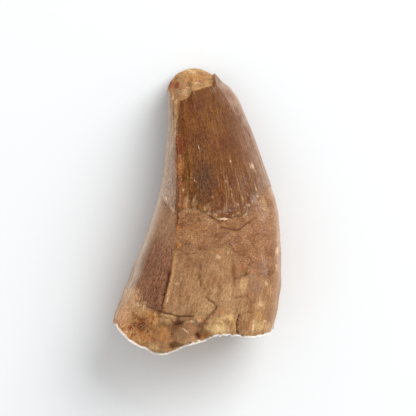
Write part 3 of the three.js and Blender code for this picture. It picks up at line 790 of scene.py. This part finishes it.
        (0.5, 13, 0.1, 0.7, 12, 0.7), (-3.5, 11.5, 0.15, 0.35, 0, 0.8), (7, 10.5, 0.15, 0.12, 0, 0.9),
        (11.5, 9.5, 0.45, 0.8, 14, 0.55), (12.3, 8.4, 0.1, 0.4, 20, 0.5), (-1, 6.9, 0.1, 0.12, 0, 0.8),
        (12.9, 6.6, 0.1, 0.5, 20, 0.5), (6, 6.6, 0.09, 1, 10, 0.6), (-0.5, 6.45, 0.18, 0.2, 0, 0.7),
        (-0.2, 6.2, 0.12, 0.1, 0, 0.9), (0.2, 5.4, 0.1, 0.2, 0, 0.6), (12.2, 4.8, 0.12, 0.5, 20, 0.5),
        (-2.9, 4.5, 0.22, 0.3, 0, 0.9), (7.2, 4.2, 0.09, 1.2, 12, 0.6), (10.6, 3.6, 0.15, 0.4, 18, 0.6),
        # where the enamel ends
        (12.6, 3.2, 0.3, 0.3, 40, 0.5), (3.3, 3, 0.3, 0.25, 0, 0.35), (-6.6, 2.85, 1.9, 0.15, -48, 0.8),
        (9.6, 2.6, 0.12, 0.25, 14, 0.7), (11.6, 2.2, 0.15, 0.2, 20, 0.7), (8.6, 1.4, 0.12, 0.3, 10, 0.7),
        (10.7, 1.35, 0.36, 0.4, 0, 0.65), (9.9, 0.9, 0.15, 0.12, 0, 0.8), (-0.6, 0.6, 0.35, 0.12, 0, 0.9),
        (9.4, 0.4, 0.9, 0.5, 20, 0.3), (7, 0.4, 0.1, 0.3, 8, 0.6), (-4.8, 0.3, 0.5, 0.5, 0, 0.3),
        (8.6, -0.3, 0.15, 0.15, 0, 0.8), (2.2, -0.4, 0.6, 0.15, -24, 0.6), (6.3, -0.5, 0.25, 0.15, 0, 0.8),
        (10, -0.6, 0.6, 0.2, 30, 0.5), (4, -0.6, 0.3, 0.12, 0, 0.6), (7.6, -0.8, 1.1, 0.3, 14, 0.35),
        (5.76, -1.55, 1.2, 0.2, 1, 1.3),
        # the root
        (6.4, -8.4, 0.14, 0.6, 0, 0.75), (16.7, -8.4, 0.35, 1.1, 0, 0.8), (4.4, -9.4, 0.5, 0.5, 0, 0.75),
        (16.6, -11.6, 0.3, 0.7, 0, 0.5), (4.7, -13, 0.14, 0.5, 0, 0.65), (14.5, -15, 0.4, 0.6, 0, 0.65),
        (-4.3, -15, 0.4, 0.3, 0, 0.5), (-15, -16.2, 0.9, 1.8, -24, 0.4),
        (-14.9, -16.3, 0.8, 1.8, -24, 0.45), (-8.8, -16.4, 0.12, 0.35, -14, 0.7),
        (-14.2, -17.3, 1.2, 2.4, -20, 0.6), (-12.9, -17.6, 0.9, 1.8, -20, 0.3),
        (-6.15, -18.5, 0.12, 0.5, -14, 0.7), (-13.2, -18.6, 0.9, 1.8, -20, 0.3),
        (13.3, -19.3, 0.5, 0.6, 0, 0.45), (-12.2, -19.3, 0.7, 0.25, -40, 1.3),
        (-3.4, -19.5, 0.14, 0.4, 0, 0.5),
        # near the broken end
        (-15.2, -20.2, 0.5, 2.2, -22, 0.3), (-0.4, -22.7, 0.5, 0.35, 0, 0.65),
        (-0.8, -22.8, 0.9, 0.6, 0, 0.4), (14.1, -22.8, 0.3, 0.2, 30, 0.9), (11.65, -24, 0.2, 1.7, -6, 1.1),
        (4.4, -24.3, 2.5, 1.3, 4, 0.3), (5.8, -24.6, 1.2, 0.8, 0, 0.35),
        # (-2.35, -24.7) is a painted highlight: the glint on the round knob.
        (-2.35, -24.7, 0.7, 0.13, -42, 1.5), (-13.4, -27, 0.5, 0.3, -30, 0.7),
    ],
    "streaked": [
        (4.6, 16.5, 2.6, 3.6, 14, 0.35), (0.6, 12.5, 1.6, 3, 4, 0.4), (-2, 8, 0.9, 8, 0, 0.6),
        (11.8, 6, 1.2, 5, 22, 0.8), (7.4, 4.4, 3.2, 7.6, 14, 1),
    ],
}
print("stains:", sum(len(stains) for stains in STAINS.values()))


# %% Store the stains
def store(name, values):
    """Saves one number, or three, for each point under a name that a material can read."""
    values = np.asarray(values, float)
    kind, key = ("FLOAT_VECTOR", "vector") if values.ndim == 2 else ("FLOAT", "value")
    made = tooth.data.attributes.new(name, kind, "POINT")
    made.data.foreach_set(key, values.ravel())


points, normals, x, y, z = survey()
upper = smooth(normals[:, 2], -0.1, 0.25)
torn_root = on_base * (1 - upper)
for pigment, stains in STAINS.items():
    amount = np.zeros(len(x))
    for across, up, wide, long, angle, strength in stains:
        amount = np.maximum(amount, strength * blob(x, y, (across, up), (wide, long), angle))
    store(pigment, amount * upper * (1 - 0.8 * torn_root))
    print(f"{pigment}: on {(amount > 0.3).mean():.0%} of the points")

# %% [markdown]
# A near-white line is painted along the broken root's rim, as a painted highlight. The rim is found by
# taking the outermost point in each narrow bin across the tooth, and what lies close to the line of those
# points gets the painted highlight.

# %% Find the broken root's rim
BIN = 0.3  # how wide a bin is
RUNNING_MEAN = np.ones(5) / 5
bins = ((x - x.min()) / BIN).astype(int)
outward = np.argsort(-y)
outermost = np.zeros((bins.max() + 1, 2))
outermost[bins[outward]] = np.stack([y, z], axis=1)[outward]  # the outermost point of each bin is laid last
middles = x.min() + BIN * (np.arange(len(outermost)) + 0.5)
slant = np.gradient(np.convolve(outermost[:, 0], RUNNING_MEAN, "same"), BIN)
from_rim = (y - np.interp(x, middles, outermost[:, 0])) / np.hypot(1, np.interp(x, middles, slant))
rim_height = np.convolve(np.pad(outermost[:, 1], 2, "edge"), RUNNING_MEAN, "valid")
above_rim = z - np.interp(x, middles, rim_height)
by_rim = (1 - smooth(above_rim, 2.0, 3.5)) * smooth(above_rim + 0.4 * rough(points, 0.5, 18), -0.9, -0.3)
by_rim *= (1 - smooth(y - base_edge(x, z), 1.6, 2.4)) * (1 - smooth(x, 15, 16.4))
# Painted highlight: near white on the points close to the rim line, within a band just above the rim.
painted_rim_highlight = (1 - smooth(from_rim, 0.3, 0.5)) * by_rim
print("rubbed points:", int((painted_rim_highlight > 0.5).sum()))

# %% [markdown]
# Most of the other masks come from the shapes carved above: layers, breaks, cracks and faces. A few follow
# lines of their own: the wavy contact where granular bone gives way to fibrous bone, the pale band down the
# root's ridge, the tip's worn rim, and three worn rings beside the second carina.

# %% Store the other masks
CONTACT = [
    (-4.4, -9.2), (-2.9, -8.8), (-0.4, -8.7), (1.7, -8), (3.3, -7.5), (5.8, -7.15), (7.5, -7.8), (9, -10.4),
    (11, -12.4), (14, -13), (17, -14),
]
past_contact = through(CONTACT, x) - y + 0.45 * rough(points, 1.5, 14, 3)
on_face = upper * (1 - left_face)
ridge_band = np.exp(-(((x - s["ridge"] - 0.05) / 0.38) ** 2)) * upper
ridge_band *= smooth(-y, 7, 10) * (1 - smooth(-y, 17, 20))
tip_rim = np.exp(-(((y + MIDDLE[1] - rim - 0.1) / 0.16) ** 2)) * upper
tip_rim *= smooth(x, -1.3, -0.6) * (x < 3.3)
fibrous = on_face * smooth(past_contact, -0.3, 0.5 + 3 * smooth(x, 7, 9))
fibrous += (1 - on_face) * smooth(-y, 5, 12)
WORN_RINGS = [((7.1, 24.1), (0.85, 1.9)), ((7.2, 23.9), (0.4, 1.2)), ((8.3, 21.3), (0.5, 1.1))]
RING_TURN, RING_WIDTH = 28, 0.22
worn_rings = np.zeros(len(x))
for centre, radii in WORN_RINGS:
    off_ring = np.sqrt(-np.log(blob(x, y, centre, radii, RING_TURN) + 1e-9)) - 1
    worn_rings = np.maximum(worn_rings, np.exp(-((off_ring / RING_WIDTH) ** 2)) * upper * enamel)
masks = {
    "enamel": enamel, "worn_rings": worn_rings, "tip_rim": tip_rim,
    "chipped": chipped, "strip": chipped * (1 - smooth(y, 16.5, 19.5)),
    "broken_tip": on_tip, "broken_root": torn_root, "left_face": left_face,
    "crack": dark_line * upper, "flaked": flaked,
    "fibrous": fibrous, "ridge_band": ridge_band,
    "contact": np.exp(-((past_contact / 0.28) ** 2)) * on_face * (1 - smooth(x, 7.5, 9)),
    "dark_flank": smooth(-y + 1.0 * rough(points, (1.0, 3.0, 1.0), 15), 2, 10),
    "painted_rim_highlight": painted_rim_highlight, "shards": flaked * (1 - smooth(x, -10.5, -9)),
    "matrix": torn_root * smooth(base_hollow(x, z) + 0.15 * rough(points, 1.5, 17, 3), 0.35, 0.6),
}
for name, values in masks.items():
    store(name, values)
store("flow", flow)
store("form", form)
print("stored", len(STAINS) + len(masks) + 2, "attributes")

# %% [markdown]
# Stone breaks with crisp edges. Where two faces meet at a steep angle, the shading isn't smoothed across
# them.

# %% Keep broken edges crisp
CRISP_ANGLE = 58
bpy.ops.object.shade_smooth_by_angle(angle=np.radians(CRISP_ANGLE))
crisp = sum(edge.use_edge_sharp for edge in tooth.data.edges)
print("crisp edges:", crisp, "of", len(tooth.data.edges))

# %% [markdown]
# ## Paint
# Fossil enamel and bone are stained through by minerals, and no two square millimetres match. The material
# is layered as a painter would do it: a ground for each kind of surface, then each pigment where its mask
# says. What is used again and again is made a node group first. Every helper below works on the node tree
# that is called tree at the time.

# %% Node helpers
LIT = 1.2  # a surface that faces up is lit this many times brighter than its paint


def paint(red, green, blue):
    """The paint that looks like a display colour (0 to 255) on the lit table, as a shader takes it."""
    parts = [c / 255 for c in (red, green, blue)]
    parts = [c / 12.92 if c <= 0.04045 else ((c + 0.055) / 1.055) ** 2.4 for c in parts]
    return [c / LIT for c in parts] + [1]


def node(kind, **settings):
    made = tree.nodes.new("ShaderNode" + kind)
    for name, value in settings.items():
        setattr(made, name, value)
    return made


def give(socket, value):
    """Links a socket to a socket, or sets it to a plain value."""
    if isinstance(value, bpy.types.NodeSocket):
        tree.links.new(value, socket)
    else:
        socket.default_value = value


def mask(name):
    return node("Attribute", attribute_name=name).outputs["Fac"]


def calc(operation, a, b=0.0):
    made = node("Math", operation=operation)
    give(made.inputs[0], a)
    give(made.inputs[1], b)
    return made.outputs[0]


def times(first, *others):
    for other in others:
        first = calc("MULTIPLY", first, other)
    return first


def mixed(amount, a, b):
    """Mixes two colours, or two plain numbers."""
    is_colour = isinstance(a, list) or getattr(a, "type", "") == "RGBA"
    made = node("Mix", data_type="RGBA" if is_colour else "FLOAT")
    give(made.inputs["Factor"], amount)
    first = 6 if is_colour else 2
    give(made.inputs[first], a)
    give(made.inputs[first + 1], b)
    return made.outputs[first // 3]


def ramped(value, low, high, new_low=0.0, new_high=1.0):
    made = node("MapRange", interpolation_type="SMOOTHSTEP")
    for socket, given in zip(made.inputs, (value, low, high, new_low, new_high)):
        give(socket, given)
    return made.outputs["Result"]


def noise_texture(vector, size, detail):
    made = node("TexNoise")
    give(made.inputs["Vector"], vector)
    give(made.inputs["Scale"], calc("DIVIDE", 1.0, size))
    give(made.inputs["Detail"], detail)
    return made.outputs["Fac"]


print("a middling grey paint:", round(paint(128, 128, 128)[0], 3))


# %% Tools for node groups
def new_group(name, inputs, output, output_kind):
    """An empty node group. An input is a kind of socket, or a number's usual value."""
    made = bpy.data.node_groups.new(name, "ShaderNodeTree")
    for label, value in inputs.items():
        kind = value if isinstance(value, str) else "Float"
        socket = made.interface.new_socket(name=label, in_out="INPUT", socket_type="NodeSocket" + kind)
        if kind == "Float":
            socket.default_value = value
    made.interface.new_socket(name=output, in_out="OUTPUT", socket_type="NodeSocket" + output_kind)
    start, end = made.nodes.new("NodeGroupInput"), made.nodes.new("NodeGroupOutput")
    return made, start.outputs, end.inputs[0]


def use(group, **values):
    """Places a node group, gives its inputs values and returns its result."""
    made = node("Group", node_tree=bpy.data.node_groups[group])
    for name, value in values.items():
        give(made.inputs[name], value)
    return made.outputs[0]


# %% [markdown]
# Speckle is noise with its contrast raised. Veins are thin lines, where noise passes through its middle
# value. Pigment lays one colour over another with a ragged edge. Shade makes a colour darker and lighter.

# %% Make the node groups
tree, given, result = new_group(
    "speckle", {"Vector": "Vector", "Size": 1.0, "Detail": 3.0, "Low": 0.3, "High": 0.7}, "Mask", "Float",
)
spots = noise_texture(given["Vector"], given["Size"], given["Detail"])
give(result, ramped(spots, given["Low"], given["High"]))

VEIN_DETAIL = 3
tree, given, result = new_group("veins", {"Vector": "Vector", "Size": 1.0, "Width": 0.03}, "Mask", "Float")
swirls = noise_texture(given["Vector"], given["Size"], VEIN_DETAIL)
from_middle = calc("ABSOLUTE", calc("SUBTRACT", swirls, 0.5))
give(result, ramped(from_middle, 0.0, given["Width"], 1.0, 0.0))

tree, given, result = new_group(
    "pigment",
    {"Ground": "Color", "Pigment": "Color", "Amount": 0.0, "Grain": 0.5, "Raggedness": 0.8, "Hardness": 0.0},
    "Color", "Color",
)
ragged = times(calc("SUBTRACT", given["Grain"], 0.5), given["Raggedness"])
margin = times(given["Hardness"], 0.4)
cover = ramped(calc("ADD", given["Amount"], ragged), margin, calc("SUBTRACT", 1.0, margin))
cover = calc("MINIMUM", cover, times(given["Amount"], 3.0))  # none where the mask is 0
give(result, mixed(cover, given["Ground"], given["Pigment"]))

tree, given, result = new_group(
    "shade", {"Color": "Color", "Texture": 0.5, "Strength": 0.2}, "Color", "Color",
)
dark, light = calc("SUBTRACT", 1.0, given["Strength"]), calc("ADD", 1.0, given["Strength"])
scaled = node("VectorMath", operation="SCALE")
give(scaled.inputs[0], given["Color"])
give(scaled.inputs["Scale"], mixed(given["Texture"], dark, light))
give(result, scaled.outputs[0])
print("groups:", [g.name for g in bpy.data.node_groups])

# %% [markdown]
# ## The fossil's material
# Every texture on it is noise. Sampled in space, noise gives grains and clouds. Sampled on the unrolled
# surface and squeezed lengthwise, it gives streaks along the tooth, the way that enamel and bone grow.

# %% Sample the noise
fossil = bpy.data.materials.new("fossil_tooth_stone")
fossil.use_nodes = True
tree = fossil.node_tree
in_units = node("VectorMath", operation="SCALE")
give(in_units.inputs[0], node("TexCoord").outputs["Object"])
give(in_units.inputs["Scale"], 1 / MM)
spot = in_units.outputs["Vector"]
along = node("Attribute", attribute_name="flow").outputs["Vector"]


def drawn_out(squeeze):
    """The unrolled surface squeezed lengthwise, so that noise on it comes out as streaks."""
    made = node("VectorMath", operation="MULTIPLY")
    give(made.inputs[0], along)
    give(made.inputs[1], (1, 1, squeeze))
    return made.outputs["Vector"]


def speckled(vector, size, detail=3.0, low=0.3, high=0.7):
    return use("speckle", Vector=vector, Size=size, Detail=detail, Low=low, High=high)


is_enamel, is_fibrous = mask("enamel"), mask("fibrous")
on_left, on_flakes = mask("left_face"), mask("flaked")
hair = speckled(drawn_out(0.2), 0.24)
line = speckled(drawn_out(0.06), 0.34, 2.0, 0.52, 0.64)
strand = speckled(drawn_out(0.4), 1.1, 4.0)
fibre = speckled(drawn_out(0.14), 0.4, 4.0)
mottle = speckled(drawn_out(0.55), 1.5, 6.0, 0.34, 0.66)
cloud = speckled(spot, 4.0, 4.0)
tint = speckled(spot, 1.8, 4.0)
blotch = speckled(spot, 1.2, 6.0, 0.32, 0.68)
granule = speckled(spot, 0.55, 5.0)
dust = speckled(spot, 0.26, 2.0)
drawn_pepper = speckled(drawn_out(0.3), 0.17, 1.0)
scratched = times(on_left, calc("SUBTRACT", 0.8, on_flakes))
is_drawn = calc("MAXIMUM", calc("MAXIMUM", is_enamel, times(is_fibrous, 0.45)), scratched)
pepper = mixed(is_drawn, speckled(spot, 0.19, 1.0), drawn_pepper)
print("nodes for the noise:", len(tree.nodes))

# %% [markdown]
# Three grounds are mixed by the masks: brown enamel with lengthwise streaks, granular root bone, and the
# paler stone inside, which shows at the breaks. The left face has paler grounds of its own, painted lighter
# to make up for the shade on that side, and its enamel is paler still as a painted sheen.

# %% Mix the grounds
def tinted(ground, *layers):
    """Lays thin paints over a ground. Each layer is (where, strength, display colour)."""
    for where, strength, display in layers:
        ground = mixed(times(where, strength), ground, paint(*display))
    return ground


enamel_ground = tinted(
    mixed(mottle, paint(102, 49, 11), paint(120, 70, 20)),
    (cloud, 0.45, (132, 78, 20)), (strand, 0.3, (98, 44, 10)),
    (times(line, mask("streaked")), 0.65, (176, 130, 82)),
)
grained = mixed(tint, paint(146, 98, 62), paint(180, 132, 92))
stringy = mixed(cloud, paint(158, 112, 72), paint(192, 148, 104))
root_ground = tinted(mixed(is_fibrous, grained, stringy), (tint, 0.3, (168, 118, 90)))

inside_ground = mixed(tint, paint(168, 118, 76), paint(196, 150, 102))
strip_ground = mixed(granule, paint(150, 94, 58), paint(190, 130, 86))
break_ground = mixed(mask("strip"), inside_ground, strip_ground)
sediment = mixed(granule, paint(186, 152, 114), paint(216, 184, 140))

# The left face's grounds are painted lighter than the same stone on the upper face, against the shade there.
crumbled = mixed(blotch, paint(186, 112, 58), paint(248, 188, 122))
left_bone = mixed(mask("dark_flank"), paint(186, 142, 108), paint(152, 102, 76))
left_bone = mixed(on_flakes, tinted(left_bone, (line, 0.12, (206, 168, 140))), crumbled)
# The left enamel is painted pale, a painted sheen, where the upper face's enamel is brown.
left_enamel = tinted(
    mixed(mottle, paint(156, 114, 82), paint(190, 150, 130)),
    (line, 0.55, (116, 76, 54)), (hair, 0.3, (222, 186, 166)),
)

inner = calc("MAXIMUM", mask("chipped"), mask("broken_tip"))
inner = calc("MAXIMUM", inner, times(mask("broken_root"), 0.8))
colour = mixed(is_enamel, root_ground, enamel_ground)
# The left face takes its lighter grounds, painted to make up for its shade.
colour = mixed(times(on_left, 0.9), colour, mixed(is_enamel, left_bone, left_enamel))
colour = mixed(inner, colour, break_ground)
colour = mixed(mask("matrix"), colour, sediment)
colour = tinted(
    colour, (mask("contact"), 0.45, (118, 74, 46)), (mask("ridge_band"), 0.75, (212, 158, 104)),
)
print("nodes with the grounds:", len(tree.nodes))

# %% [markdown]
# The pigments go over the grounds one after another, with the palest last, so that pale chips end on top.
# In the crumbled corner the break also cut through small shell-like flakes, which show as thin dark and
# pale lines.

# %% Lay the pigments
PIGMENTS = {
    # pigment: (display colour, raggedness, hardness)
    "umber": ((90, 56, 32), 0.5, 0.0),
    "honey": ((216, 162, 92), 0.6, 0.0),
    "ash": ((178, 150, 132), 0.4, 0.0),
    "sand": ((206, 162, 114), 0.6, 0.2),
    "mauve": ((152, 106, 80), 0.3, 0.0),
    "ochre": ((200, 134, 78), 0.6, 0.1),
    "rust": ((148, 76, 44), 0.9, 0.2),
    "peach": ((244, 182, 134), 0.5, 0.1),
    "butter": ((232, 190, 132), 0.6, 0.2),
    "cream": ((236, 204, 164), 0.6, 0.2),
}
grain = mixed(0.3, mixed(is_drawn, blotch, fibre), dust)
grain = mixed(times(is_fibrous, 0.5), grain, 0.54)
for name, (display, raggedness, hardness) in PIGMENTS.items():
    colour = use(
        "pigment", Ground=colour, Pigment=paint(*display), Amount=mask(name), Grain=grain,
        Raggedness=raggedness, Hardness=hardness,
    )
on_shards = mask("shards")
seams = times(use("veins", Vector=spot, Size=2.6, Width=0.022), on_shards)
flakes = times(use("veins", Vector=along, Size=2.1, Width=0.02), on_shards)
colour = tinted(colour, (seams, 0.3, (124, 68, 38)), (flakes, 0.6, (252, 206, 148)))
print("pigments laid:", len(PIGMENTS))

# %% [markdown]
# Two textures darken and lighten the paint: the bone's fibres and granules, and a fine pepper. Then come
# the enamel's glints, which are painted highlights, the tip's worn rim, the rings worn into the second
# carina, and the cracks' dark lines, two of which are painted shadows.

# %% Add the fine texture
is_stringy = calc("MAXIMUM", is_fibrous, scratched)
bone_texture = mixed(is_stringy, granule, mixed(0.2, fibre, blotch))
bone_texture = mixed(0.2, bone_texture, dust)
enamel_texture = mixed(0.5, mixed(0.3, hair, granule), 0.5)
texture = mixed(is_enamel, bone_texture, enamel_texture)
texture = mixed(times(inner, 0.5), texture, 0.5)
colour = use("shade", Color=colour, Texture=texture, Strength=mixed(is_enamel, 0.19, 0.24))

strength = mixed(on_left, mixed(on_flakes, 0.36, 0.28), 0.24)
strength = mixed(mask("broken_tip"), strength, 0.42)
strength = mixed(times(mask("dark_flank"), on_left), strength, 0.48)
strength = mixed(is_enamel, strength, mixed(mask("umber"), 0.24, 0.38))
strength = mixed(times(is_enamel, on_left), strength, 0.55)
colour = use("shade", Color=colour, Texture=pepper, Strength=strength)

# Painted highlight: pale glints mixed into the enamel's colour, stronger on the left strip.
glint = ramped(drawn_pepper, 0.4, 1.0, 0.0, mixed(on_left, 0.06, 0.3))
colour = tinted(
    colour, (is_enamel, glint, (214, 170, 130)), (mask("tip_rim"), 0.7, (214, 160, 92)),
    (mask("worn_rings"), 0.4, (190, 156, 132)), (mask("crack"), 0.85, (92, 52, 28)),
)
print("nodes with the texture:", len(tree.nodes))

# %% [markdown]
# Enamel and bone are painted paler where they are seen at a grazing angle: a painted sheen mixed into the
# colour, and a painted highlight, nearly white, along the left face's far edge. The angle is taken against
# the smooth form, so that each small ridge doesn't flash. The rim of the broken root is painted nearly
# white, as a painted highlight.

# %% Add the painted sheen and highlights, and finish the surface
PAINTED_SHEEN_TINT, PAINTED_EDGE_HIGHLIGHT_TINT, PAINTED_RIM_HIGHLIGHT_TINT = [0.95, 0.78, 0.64, 1], [1, 0.96, 0.9, 1], [1, 0.94, 0.84, 1]
tilt = node("LayerWeight")
give(tilt.inputs["Normal"], node("Attribute", attribute_name="form").outputs["Vector"])
facing = tilt.outputs["Facing"]
grazing = ramped(facing, mixed(is_enamel, 0.4, 0.1), 0.8)
right_sheen = mixed(is_enamel, mixed(is_fibrous, 0.32, 0.16), 0.36)
left_sheen = mixed(is_enamel, 0.62, 0.42)
streaky = ramped(mixed(0.5, fibre, hair), 0.0, 1.0, 0.7, 1.3)
stained = mixed(mask("peach"), 1.0, 0.25)
damage = times(mixed(inner, 1.0, 0.2), mixed(on_flakes, 1.0, 0.4))
# Painted sheen: a pale tint mixed into the colour where the smooth form is seen at a grazing angle.
painted_sheen = times(grazing, mixed(on_left, right_sheen, left_sheen), streaky, stained, damage)
# Painted highlight: near white along the left face's far edge, at the most grazing angles.
painted_edge_highlight = times(ramped(facing, 0.8, 0.98), on_left, stained, mixed(is_enamel, 0.8, 0.2))
colour = mixed(painted_sheen, colour, PAINTED_SHEEN_TINT)
colour = mixed(painted_edge_highlight, colour, PAINTED_EDGE_HIGHLIGHT_TINT)
# Painted highlight along the broken root's rim: mixed nearly to white.
colour = mixed(mask("painted_rim_highlight"), colour, PAINTED_RIM_HIGHLIGHT_TINT)

surface = tree.nodes["Principled BSDF"]
surface.inputs["Specular IOR Level"].default_value = 0.12
give(surface.inputs["Base Color"], colour)
give(surface.inputs["Roughness"], calc("ADD", mixed(is_enamel, 0.75, 0.42), times(granule, 0.1)))
bone_height = times(bone_texture, mixed(inner, 0.09, 0.035))
bump = node("Bump")
bump.inputs["Distance"].default_value = MM
give(bump.inputs["Height"], mixed(is_enamel, bone_height, times(hair, 0.03)))
give(surface.inputs["Normal"], bump.outputs["Normal"])
tooth.data.materials.clear()
tooth.data.materials.append(fossil)
print("material nodes:", len(tree.nodes))

# %% [markdown]
# ## Floor, light and camera
# The tooth lies on a white table under one large soft light from the upper right, with a pale room all
# round.

# %% Floor
bpy.ops.object.select_all(action="DESELECT")
bpy.ops.mesh.primitive_plane_add(size=2.4, location=(0, 0, 0))
floor = bpy.context.object
floor.name = "white_table"
table_paint = bpy.data.materials.new("white_table_paint")
table_paint.use_nodes = True
table_surface = table_paint.node_tree.nodes["Principled BSDF"]
table_surface.inputs["Base Color"].default_value = (0.92, 0.94, 0.95, 1)
table_surface.inputs["Roughness"].default_value = 0.9
table_surface.inputs["Specular IOR Level"].default_value = 0.0
floor.data.materials.append(table_paint)

# %% Lights
world = bpy.data.worlds.new("pale_room")
bpy.context.scene.world = world
world.use_nodes = True
world.node_tree.nodes["Background"].inputs["Color"].default_value = (1, 1, 1, 1)
world.node_tree.nodes["Background"].inputs["Strength"].default_value = 0.62
LIGHT_PLACE = Vector((0.638, 0.616, 0.77))
bpy.ops.object.light_add(type="AREA", location=LIGHT_PLACE)
light = bpy.context.object
light.name = "soft_key"
light.data.size = 0.924
light.data.energy = 11.4
light.rotation_euler = (-LIGHT_PLACE).to_track_quat("-Z", "Y").to_euler()
print("light", round(LIGHT_PLACE.length, 2), "m away")

# %% Camera
VIEW_CENTRE, VIEW_WIDTH = (2.3, 0.73), 86.97
FOCAL_LENGTH, SENSOR = 600, 36
MID_HEIGHT = 10  # the height at which the view is that wide
above = MID_HEIGHT + VIEW_WIDTH * FOCAL_LENGTH / SENSOR
bpy.ops.object.camera_add(location=Vector((*VIEW_CENTRE, above)) * MM)
camera = bpy.context.object
camera.name = "camera_above"
camera.data.lens = FOCAL_LENGTH
camera.data.sensor_width = SENSOR
camera.data.clip_start = 0.01
bpy.context.scene.camera = camera
bpy.context.scene.view_settings.view_transform = "Standard"
print("camera height", round(camera.location.z, 3), "m")

# %% Hand over
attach(tooth, "root")
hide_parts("tooth")
